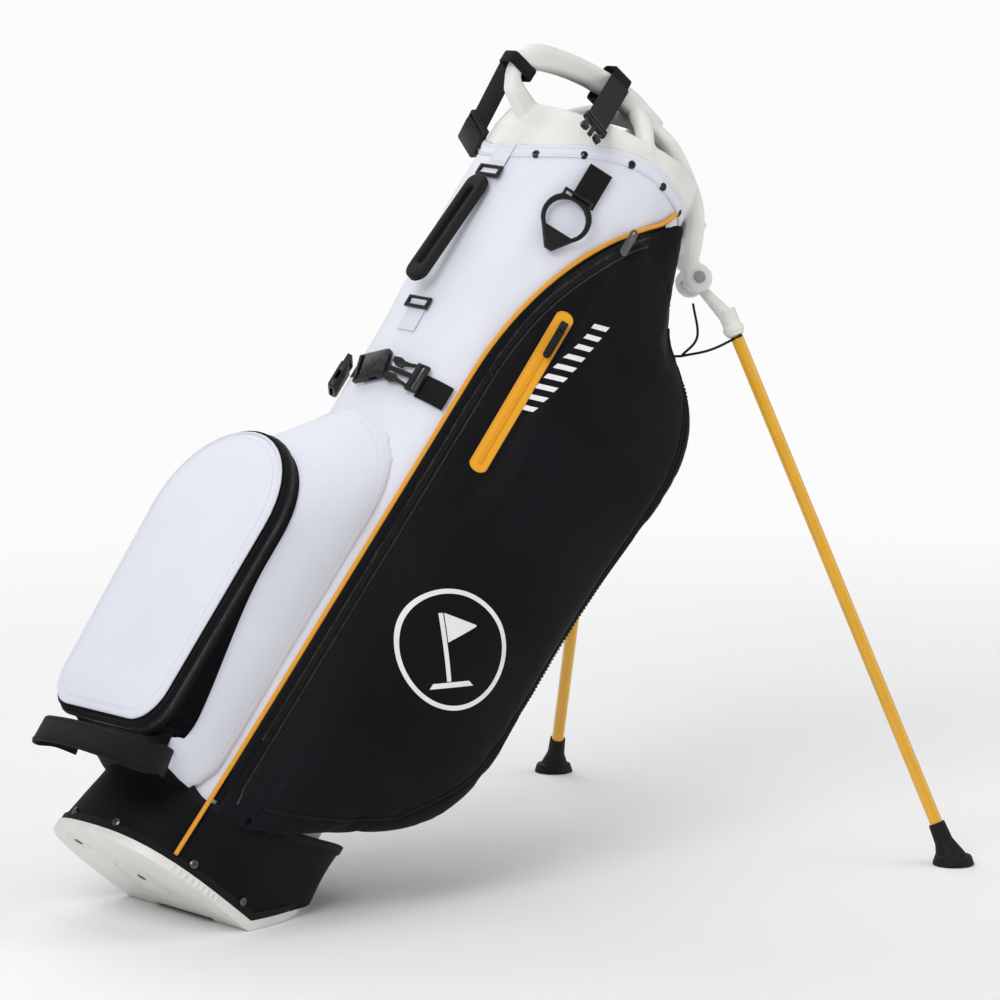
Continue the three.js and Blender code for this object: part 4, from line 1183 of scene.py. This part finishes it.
skin = surface_of(front_body)
for row, t in enumerate((0.13, 0.2)):
    seam = [body_point(y, z, t) for y, z in arch_outline(0, 160) if z > FP_BOTTOM + 30]
    hits = []
    for p in seam:
        hit, normal, _, _ = skin.find_nearest(place(*p))
        outward = hit - place(-150, 0, p.z)
        hits.append((hit, normal if normal.dot(outward) > 0 else -normal))
    where = [h + n * 0.3 * MM for h, n in hits]
    ns = [n for _, n in hits]
    piece(f"gusset_stitches_{row + 1}", stitches(where, ns, 4, 3, 0.8), "white_webbing")


def band_back(z):
    """The black band reaches further back towards the pocket's foot."""
    return lerp(172, 196, smooth((z - FP_BOTTOM) / 190))


def band_shell():
    rows = []
    outer, inner = arch_outline(-2.2, 160), arch_outline(9, 160)
    for k in range(7):
        rows.append([face_point(y, z, lerp(band_back(z), BAND_FRONT - 1, k / 6)) for y, z in outer])
    rows.append([face_point(y * 0.985, z, BAND_FRONT) for y, z in outer])
    rows.append([face_point(y, z, BAND_FRONT) for y, z in inner])
    rows.append([face_point(y, z, BODY_FRONT + 1) for y, z in inner])
    rows.append([face_point(y, z, BODY_FRONT + 0.6) for y, z in outer])
    points, faces = grid(rows, True, True)
    return mesh_of(points, faces)


piece("front_pocket_band_cloth", band_shell(), "black_fabric", nodes=("front_pocket_band",))


def panel_shell():
    """The padded panel: flat behind, crowned in front, pulled in at its sewn edge."""
    line = arch_outline(3, 160)
    middle = FP_MIDDLE - 6
    rows = []
    for s in (0.05, 0.5, 0.97):
        rows.append([face_point(y * s, middle + (z - middle) * s, BAND_FRONT + 0.5) for y, z in line])
    for k in range(15):
        s = math.cos(0.5 * math.pi * k / 14.5)
        crown = 6.5 * (1 - s**5) + 1.2 * (1 - s)
        row = []
        for y, z in line:
            yy, zz = y * s, middle + (z - middle) * s
            wave = 0.8 * noise.noise(Vector((yy / 55, zz / 70, 3.3))) * (1 - s**4)
            row.append(face_point(yy, zz, BAND_FRONT + 3.2 + crown + wave))
        rows.append(row)
    points, faces = grid(rows)
    return mesh_of(points, faces)


piece("front_pocket_cover", panel_shell(), "white_fabric", nodes=("front_pocket_panel",))


def face_loop(inset, out, count=200):
    """Points round the pocket's face, and their normals away from its middle."""
    at = [face_point(y, z, out) for y, z in arch_outline(inset, count)]
    middle = face_point(0, FP_MIDDLE, out)
    return at, [(p - middle).normalized() for p in at]


binding = sweep(*face_loop(2.6, BAND_FRONT + 2.6), round_profile(1.9, 10), closed=True)
piece("front_cover_binding", binding, "white_webbing")
FRONT_ZIP = BAND_FRONT - 9
tape = sweep(*face_loop(-2.6, FRONT_ZIP), flat_profile(9, 1.0), closed=True)
piece("front_band_tape", tape, "black_webbing")
points, normals = face_loop(-3.2, FRONT_ZIP, 220)
coil = zip_coil(points + points[:1], normals + normals[:1])
piece("front_band_coil", coil, "black_plastic")
cover_line = arch_outline(9, 200)
stitch_at = [face_point(y, z, BAND_FRONT + 5.4) for y, z in cover_line]
piece(
    "front_cover_stitches",
    stitches(stitch_at + stitch_at[:1], [direction(-1, 0, 0)] * 201, 4, 2.8, 0.7),
    "white_webbing",
)

# --------------------------------- grab handle and spine pad
handle = path(
    [
        (-156, 70, 82), (-174, 82, 78), (-192, 82, 69), (-210, 56, 66), (-216, 0, 66),
        (-210, -56, 66), (-192, -82, 69), (-174, -82, 78), (-156, -70, 82),
    ],
    80,
)  # fmt: skip
handle_at = [place(*p) for p in handle]
handle_out = [direction(p.x + 150, p.y * 1.4, 0) for p in handle]
strap = sweep(handle_at, handle_out, flat_profile(27, 2.4))
piece("grab_handle_webbing", strap, "black_webbing", nodes=("grab_handle",))
for row, up in enumerate((-10.5, 10.5)):
    at = [p + direction(0, 0, 1) * up * MM + n * 1.2 * MM for p, n in zip(handle_at, handle_out)]
    piece(f"grab_handle_stitches_{row + 1}", stitches(at, handle_out, 4.5, 3.2, 0.8), "black_fabric")

PAD_LOW, PAD_HIGH, PAD_HALF = 372, 568, 48


def pad_shell():
    """A quilted pad on the spine, rounded at both ends."""
    rows = []
    for i in range(71):
        z = lerp(PAD_LOW, PAD_HIGH, i / 70)
        end = max(0.0, PAD_LOW + PAD_HALF - z, z - (PAD_HIGH - PAD_HALF))
        half = max(1.0, math.sqrt(max(0.0, PAD_HALF**2 - end**2)))
        outer, inner = [], []
        for k in range(25):
            y = half * (k / 12 - 1)
            back = TUBE_X + math.sqrt((TUBE_R + 0.6) ** 2 - y * y)
            rim = 1 - min(1.0, math.hypot(y, end) / (PAD_HALF + 0.01)) ** 6
            quilt = abs(math.sin((y + z) * math.pi / 26) * math.sin((y - z) * math.pi / 26))
            swell = max(0.6, (84 - back) * rim * (0.72 + 0.28 * quilt**0.5))
            outer.append(place(back + swell, y, z))
            inner.append(place(back, y, z))
        rows.append(outer + inner[::-1])
    points, faces = grid(rows)
    return mesh_of(points, faces)


piece("spine_pad_quilt", pad_shell(), "black_mesh", nodes=("spine_pad",))
pad_edge = capsule_rim(PAD_HALF + 1, PAD_HALF + 1, PAD_LOW + PAD_HALF, PAD_HIGH - PAD_HALF, 120)
at = [place(TUBE_X + math.sqrt((TUBE_R + 1.8) ** 2 - y * y), y, z) for y, z in pad_edge]
binding = sweep(at, [direction(1, 0, 0)] * len(at), round_profile(2.2, 10), closed=True)
piece("spine_pad_binding", binding, "black_webbing")

# --------------------------------- top moulding, liner and dividers
melted("top_moulding", "top_carry_moulding", "white_plastic", voxel=1.5, rounds=10)
melted("divider_frame", "divider_hoop", "black_fabric", voxel=1.5, rounds=8)
refined("divider_cloth", "divider_sheets", "black_liner", bevel=0.4)
refined("actuator_rod", "actuator_wire", "steel", "actuator_rod", bevel=0.4)

COLLAR_IN = TUBE_R - 8.5


def inside(angle, radius, level):
    turn = math.pi + math.radians(angle)
    x = radius * math.cos(turn)
    x = TUBE_X + (x * 1.1 if x < 0 else x)
    return Vector((x, radius * math.sin(turn), mouth_height(level, x)))


piece(
    "mouth_liner",
    shell(
        lambda a: [inside(a, COLLAR_IN - 0.2, lerp(-0.7, 0.86, k / 8)) for k in range(9)],
        lambda a: [inside(a, COLLAR_IN - 1.0, lerp(-0.7, 0.86, k / 8)) for k in range(9)],
    ),
    "black_liner",
)


def liner_column(angle, drop):
    top = mouth_height(-0.8, on_tube(angle, 800).x)
    bottom = heel_height(on_tube(angle, 20, -4).x, BASE_INSIDE + 2)
    return [on_tube(angle, lerp(bottom, top, k / 30), -WALL - drop) for k in range(31)]


liner = shell(lambda a: liner_column(a, 0.15), lambda a: liner_column(a, 0.8))
piece("tube_liner", liner, "black_liner")

STUD_R, STUD_HEIGHT = 4.2, 2.6
# The stud's section from its back to its dimple, as shares of its radius and height.
STUD_SECTION = (
    (0.001, -0.5), (1.0, -0.5), (1.03, -0.2), (0.93, 0.25),
    (0.62, 0.5), (0.34, 0.55), (0.28, 0.3), (0.001, 0.3),
)  # fmt: skip


def stud(name, node, material):
    """A domed rivet head with a small dimple, standing where the CAD rivet is."""
    low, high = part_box(node)
    centre = to_bag((low + high) / 2)
    normal = direction(centre.x - TUBE_X, centre.y, 0)
    side = normal.cross(direction(0, 0, 1)).normalized()
    up = side.cross(normal)
    rows = []
    for r, h in STUD_SECTION:
        level = place(*centre) + normal * h * STUD_HEIGHT * MM
        reach = r * STUD_R * MM
        rows.append([level + (side * math.cos(t) + up * math.sin(t)) * reach for t in turns(24)])
    points, faces = grid(rows)
    piece(name, mesh_of(points, faces), material, nodes=(node,))


for number in range(1, 12):
    stud(f"collar_stud_{number}", f"collar_rivet_{number}", "black_plastic")
for number in range(1, 7):
    stud(f"boot_stud_{number}", f"boot_rivet_{number}", "dark_steel")

# --------------------------------- carry handle
GRIP_ANGLE, GRIP_LOW, GRIP_HIGH = 5, 620, 750
refined("carry_grip", "carry_grip_rubber", "black_rubber", "carry_grip", 1.6)
refined("carry_ring_top", "carry_ring_top_loop", "black_plastic", bevel=0.8)
refined("carry_ring_bottom", "carry_ring_bottom_loop", "black_plastic", bevel=0.8)


def up_tube(angle, low, high, lift):
    """Points and normals up the tube at one angle. lift is a function of the height."""
    turn = math.pi + math.radians(angle)
    heights = [lerp(low, high, k / 20) for k in range(21)]
    points = [place(*on_tube(angle, z, lift(z))) for z in heights]
    return points, [direction(math.cos(turn), math.sin(turn), 0)] * len(points)


def tab(name, line, width, material, nodes=()):
    """A flat strip up the tube. line is its points and normals."""
    piece(name, sweep(*line, flat_profile(width, 1.8)), material, nodes=nodes)


def over_top_ring(z):
    return 1.6 + 2 * smooth((770 - z) / 14)


def over_bottom_ring(z):
    return 1.6 + 2 * smooth((z - 600) / 14)


top_line = up_tube(GRIP_ANGLE, GRIP_HIGH + 3, GRIP_HIGH + 44, over_top_ring)
tab("carry_tab_top", top_line, 23, "white_webbing")
bottom_line = up_tube(GRIP_ANGLE, GRIP_LOW - 42, GRIP_LOW - 4, over_bottom_ring)
tab("carry_tab_bottom", bottom_line, 23, "white_webbing")
for number, z in enumerate((772, 790, 582, 598), 1):
    points, normals = round_tube(lambda a: z, 2.7, GRIP_ANGLE - 5, GRIP_ANGLE + 5, 8)
    piece(f"carry_tab_stitches_{number}", stitches(points, normals, 3, 2.2, 0.7), "white_fabric")

# --------------------------------- towel ring, straps and buckles
strap_line = up_tube(60, 766, 806, lambda z: 4)
tab("towel_strap_webbing", strap_line, 25, "black_webbing", ("towel_strap",))
refined("towel_ring", "towel_ring_loop", "black_plastic", "towel_ring", 0.7)
for name, body in (
    ("mid_buckle_female", "mid_female"),
    ("mid_buckle_male", "mid_male"),
    ("mid_buckle_far", "mid_far"),
    ("anchor_buckle_near", "buckle_near"),
    ("anchor_buckle_far", "buckle_far"),
):
    refined(name, f"{name}_shell", "black_plastic", body, 0.6)

MID_Z = 528
points, normals = round_tube(lambda a: MID_Z, 3, 33, 50, 24)
strap = sweep(points, normals, WEBBING)
piece("mid_strap_webbing", strap, "black_webbing", nodes=("mid_strap",))
points, normals = round_tube(lambda a: MID_Z + 6, 2.2, -22, -6, 20)
piece("mid_strap_far_webbing", sweep(points, normals, WEBBING), "black_webbing")


def anchor(word, node, loop, tail, widthway):
    """A webbing loop round the carrying arch, and its straight tail."""
    way = Vector(tail[1]) - Vector(tail[0])
    normal = Vector(widthway).cross(-way).normalized()
    line = [place(*Vector(tail[0]).lerp(Vector(tail[1]), k / 24)) for k in range(25)]
    straight = sweep(line, [direction(*normal)] * 25, WEBBING)
    x0, x1, z0, z1, reach = loop
    if x1 - x0 < z1 - z0:  # the loop's width lies along X, and it goes round in Y and Z
        corners = [(0, -reach, z0), (0, reach, z0), (0, reach, z1), (0, -reach, z1)]
        centre, width = Vector(((x0 + x1) / 2, 0, (z0 + z1) / 2)), x1 - x0
    else:
        corners = [(x0, -reach, 0), (x1, -reach, 0), (x1, reach, 0), (x0, reach, 0)]
        centre, width = Vector(((x0 + x1) / 2, 0, (z0 + z1) / 2)), z1 - z0
    ring = []
    for i, corner in enumerate(corners):
        a = Vector(corners[i - 1])
        b, c = Vector(corner), Vector(corners[(i + 1) % 4])
        for t in (0.15, 0.5, 0.85):
            near_a, near_c = b + (a - b).normalized() * 4, b + (c - b).normalized() * 4
            ring.append(near_a.lerp(b, t).lerp(b.lerp(near_c, t), t))
    if x1 - x0 < z1 - z0:
        ring = [Vector((centre.x, p.y, p.z)) for p in ring]
    else:
        ring = [Vector((p.x, p.y, centre.z)) for p in ring]
    where = [place(*p) for p in ring]
    outs = [direction(*(p - centre)) for p in ring]
    band = sweep(where, outs, flat_profile(width, 1.8), closed=True)
    return piece(f"strap_anchor_{word}_webbing", join(straight, band), "black_webbing", nodes=(node,))


LOOP_REACH = 10.2
near_tail = ((-70, -LOOP_REACH + 0.9, 927), (-129, -92, 838))
far_tail = ((-182, LOOP_REACH - 0.9, 863), (-141, 62, 824))
anchor("near", "strap_anchor_near", (-83, -58, 897, 937, LOOP_REACH - 0.9), near_tail, (-1, 0.4, 0.3))
anchor("far", "strap_anchor_far", (-195, -162, 857, 870, LOOP_REACH - 0.9), far_tail, (-0.6, 0.25, 0.7))

# --------------------------------- legs
LEG_TOP, LEG_FOOT, LEG_R = Vector((608, 95, 514)), Vector((710, 306, 0)), 6.4
leg_way = (LEG_FOOT - LEG_TOP).normalized()


def leg_point(distance, side):
    p = LEG_TOP + leg_way * distance
    return floor_point(p.x, side * p.y, p.z)


leg_length = (LEG_FOOT - LEG_TOP).length - 14.5 / -leg_way.z
for side, word in SIDES:
    body = f"leg_{word}"
    melted(f"leg_yoke_{word}", f"leg_yoke_{word}_moulding", "white_plastic", body, 0.9, 8)
    melted(f"foot_{word}", f"foot_{word}_rubber", "black_rubber", body, 0.9, 6)
    line = [leg_point(lerp(-13, leg_length, k / 40), side) for k in range(41)]
    tube = cord(line, LEG_R, 40)
    piece(f"leg_tube_{word}_painted", tube, "yellow_paint", body, (f"leg_tube_{word}",))
    refined(f"pivot_screw_{word}", f"pivot_screw_{word}_head", "steel", "bag", 0.5)

# --------------------------------- elastic cords
CORD_R = 1.3
tie = Vector((131, -58, 741))  # the knot on the near side of the collar
UPPER_CORD = ((129, -67, 764), (104, -66, 787))
for side, word in SIDES:
    mirror_side = Vector((1, -side, 1))
    leg_end = leg_point(-2, side) + Vector((0, side * 9.4 * MM, 0))
    start = place(*(tie * mirror_side))
    middle = start.lerp(leg_end, 0.5) + Vector((0, 0, -4 * MM))
    mesh = cord(path([start, middle, leg_end], 40), CORD_R, 10)
    stretch = piece(f"leg_cord_{word}", mesh, "black_rubber", None)
    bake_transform(stretch)
    upper = [start] + [place(*(Vector(p) * mirror_side)) for p in UPPER_CORD]
    piece(f"upper_cord_{word}", cord(path(upper, 30), CORD_R, 10), "black_rubber")
across = [(131, -58, 741), (118, -28, 728), (112, 0, 723), (118, 28, 728), (131, 58, 741)]
mesh = cord(path([place(*p) for p in across], 50), CORD_R, 10)
piece("cross_cord", mesh, "black_rubber", nodes=("leg_cord",))

# --------------------------------- base and kick plate
refined("base_cup", "base_moulding", "white_plastic", bevel=1.6)


def base_ring(angle, inset):
    """A point of the base's outline, a distance in from its edge."""
    radius = oval(angle, inset)
    return TUBE_X + radius * math.cos(angle), radius * math.sin(angle)


def sole_block(angle, width, length, low, high):
    """A rounded rib that stands on the rim of the sole at one place round it."""
    out = Vector((math.cos(angle), math.sin(angle), 0))
    along = Vector((-out.y, out.x, 0))
    x, y = base_ring(angle, 0)
    rows = []
    for t, size in ((0, 0.7), (0.12, 1), (0.88, 1), (1, 0.7)):
        z = lerp(low, high, t)
        row = []
        for turn in turns(16):
            a = math.copysign(abs(math.cos(turn)) ** 0.6, math.cos(turn)) * width / 2 * size
            b = math.copysign(abs(math.sin(turn)) ** 0.6, math.sin(turn)) * length / 2 * size
            p = Vector((x, y, z)) + along * a + out * (b - 0.3)
            row.append(place(*p))
        rows.append(row)
    points, faces = grid(rows)
    return mesh_of(points, faces)


ribs = []
for side in (-1, 1):
    for k in range(9):
        angle = math.pi + side * math.radians(52 + 3.6 * k)
        ribs.append(sole_block(angle, 3.4, 2.6, 1.6, 7.6))
piece("base_grip_ribs", join(*ribs), "white_plastic")


def sole_ring(name, centre, radius, section, material, count, closed):
    """A ring on the sole. section holds (distance out, height) pairs, and closed joins its ends."""
    rows = []
    for out, up in section:
        reach = radius + out
        x, y = centre
        rows.append([place(x + reach * math.cos(t), y + reach * math.sin(t), up) for t in turns(count)])
    points, faces = grid(rows, True, closed)
    piece(name, mesh_of(points, faces), material)


SOLE_SCREW = [(-4.9, -0.35), (-0.6, -0.35), (0, 0.2), (0.4, 1.4)]
SOLE_RIDGE = [(-1.6, 0.4), (-1.3, -0.7), (1.3, -0.7), (1.6, 0.4)]
for number, (centre, ridge) in enumerate((((-116, 46), 13), ((-66, 0), 30)), 1):
    sole_ring(f"sole_screw_{number}", centre, 5, SOLE_SCREW, "black_plastic", 48, False)
    sole_ring(f"sole_ridge_{number}", centre, ridge, SOLE_RIDGE, "white_plastic", 60, True)
refined("kick_plate", "kick_plate_moulding", "black_plastic", "kick_plate", 0.9)

# --------------------------------- prints
EMBLEM_X, EMBLEM_Z, EMBLEM_R = 4, 322, 52


def print_rows(left, right):
    """A thin printed sheet on the near pocket between two lines of (x, z) pairs."""
    shares = (0, 1 / 3, 2 / 3, 1)
    rows = []
    for (xa, za), (xb, zb) in zip(left, right):
        row = [on_pocket(lerp(xa, xb, t), lerp(za, zb, t), -1, 0.55)[0] for t in shares]
        row += [on_pocket(lerp(xa, xb, t), lerp(za, zb, t), -1, 0.1)[0] for t in shares[::-1]]
        rows.append(row)
    return rows


def emblem_circle(radius):
    return [(EMBLEM_X + radius * math.cos(t), EMBLEM_Z + radius * math.sin(t)) for t in turns(96)]


def emblem_ring(radius, width):
    rows = print_rows(emblem_circle(radius), emblem_circle(radius + width))
    points, faces = grid(rows, True, True)
    return mesh_of(points, faces)


def printed_strip(left, right):
    points, faces = grid(print_rows(left, right))
    return mesh_of(points, faces)


def run(a, b, steps=16):
    return [(lerp(a[0], b[0], k / steps), lerp(a[1], b[1], k / steps)) for k in range(steps + 1)]


def emblem_place(right, up):
    """A place on the emblem, whose upright follows the world's upright and not the bag's."""
    scale = EMBLEM_R / 36
    x = (right * COS - up * SIN) * scale
    z = (right * SIN + up * COS) * scale
    return EMBLEM_X + x, EMBLEM_Z + z


def emblem_part(a, b, c, d):
    """A four-sided part of the emblem, from one edge (a to b) to the other (c to d)."""
    a, b, c, d = (emblem_place(*corner) for corner in (a, b, c, d))
    return printed_strip(run(a, b), run(c, d))


pole = emblem_part((-7, -20), (-7, 24), (-4, -20), (-4, 24))
flag = emblem_part((-3.2, 5), (-3.2, 24), (18, 13.6), (18, 14.6))
green = emblem_part((-20, -24), (12, -24), (-17, -20.6), (9, -20.6))
piece("flag_emblem", join(emblem_ring(EMBLEM_R, 4.5), pole, flag, green), "white_print")

# A row of slanted bars beside the valuables zip.
bars = []
for k in range(9):
    low = 556 + 13.5 * k
    shift = -54 + 20 * (low - 554) / 114
    left = run((shift, low), (shift + 1.5, low + 6), 6)
    right = run((shift + 13, low + 5), (shift + 14.5, low + 11), 6)
    bars.append(printed_strip(left, right))
piece("bar_row", join(*bars), "white_print")

# --------------------------------- floor, light and camera
TARGET = floor_point(382, 0, 359)
AZIMUTH, ELEVATION, DISTANCE = math.radians(39.5), math.radians(7.8), 4.5


def studio_floor():
    """A pale floor that fades to plain white well away from the bag."""
    half, drop = 40, -0.0005
    corners = [(-half, -half, drop), (half, -half, drop), (half, half, drop), (-half, half, drop)]
    mesh = bpy.data.meshes.new("studio_floor")
    mesh.from_pydata(corners, [], [(0, 1, 2, 3)])
    floor = bpy.data.objects.new("studio_floor", mesh)
    s = Shader("studio_white")
    world = s.node("ShaderNodeTexCoord", out=3)
    away = s.node("ShaderNodeVectorMath", out=1, props={"operation": "LENGTH"}, Vector=world)
    fade = {"interpolation_type": "SMOOTHSTEP"}
    far = s.node("ShaderNodeMapRange", props=fade, Value=away, From_Min=0.9, From_Max=2.6)
    speck = s.noise(s.bag_coordinates(), 0.004, 2)
    near_tone = s.blend(speck, (0.92, 0.92, 0.925, 1), (0.95, 0.95, 0.95, 1))
    tone = s.blend(far, near_tone, (0, 0, 0, 1))
    glow = s.maths("MULTIPLY", far, 0.97)
    s.finish(Base_Color=tone, Roughness=0.9, Specular_IOR_Level=0.0)
    mesh.materials.append(s.finish(Emission_Color=(1, 1, 1, 1), Emission_Strength=glow))
    bpy.context.scene.collection.objects.link(floor)


def area_light(name, position, size, power):
    light = bpy.data.lights.new(name, "AREA")
    light.size = size
    light.energy = power
    lamp = bpy.data.objects.new(name, light)
    lamp.location = TARGET + Vector(position)
    lamp.rotation_euler = (-Vector(position)).to_track_quat("-Z", "Y").to_euler()
    bpy.context.scene.collection.objects.link(lamp)


studio_floor()
area_light("key_light", (-3.0, -1.6, 2.4), 2.0, 66)
area_light("fill_light", (2.6, -2.2, 1.5), 2.6, 20)
area_light("back_light", (0.6, 2.8, 2.4), 2.6, 36)
area_light("top_light", (0.0, 0.0, 3.6), 3.0, 34)


def studio_sky():
    """Even light from all sides, behind a brighter backdrop."""
    sky = bpy.data.worlds.new("studio_sky")
    bpy.context.scene.world = sky
    sky.use_nodes = True
    nodes, links = sky.node_tree.nodes, sky.node_tree.links
    rays = nodes.new("ShaderNodeLightPath")
    strength = nodes.new("ShaderNodeMapRange")
    strength.inputs["To Min"].default_value = 0.4
    strength.inputs["To Max"].default_value = 0.97
    links.new(rays.outputs["Is Camera Ray"], strength.inputs["Value"])
    links.new(strength.outputs["Result"], nodes["Background"].inputs["Strength"])
    nodes["Background"].inputs["Color"].default_value = (0.985, 0.99, 1.0, 1)


studio_sky()

camera_data = bpy.data.cameras.new("photo_camera")
camera_data.sensor_width = 36
camera_data.lens = 164.75
camera = bpy.data.objects.new("photo_camera", camera_data)
view_from = Vector(
    (
        -math.sin(AZIMUTH) * math.cos(ELEVATION),
        -math.cos(AZIMUTH) * math.cos(ELEVATION),
        math.sin(ELEVATION),
    )
)
camera.location = TARGET + view_from * DISTANCE
camera.rotation_euler = (-view_from).to_track_quat("-Z", "Y").to_euler()
bpy.context.scene.collection.objects.link(camera)
bpy.context.scene.camera = camera
bpy.context.scene.view_settings.view_transform = "Standard"
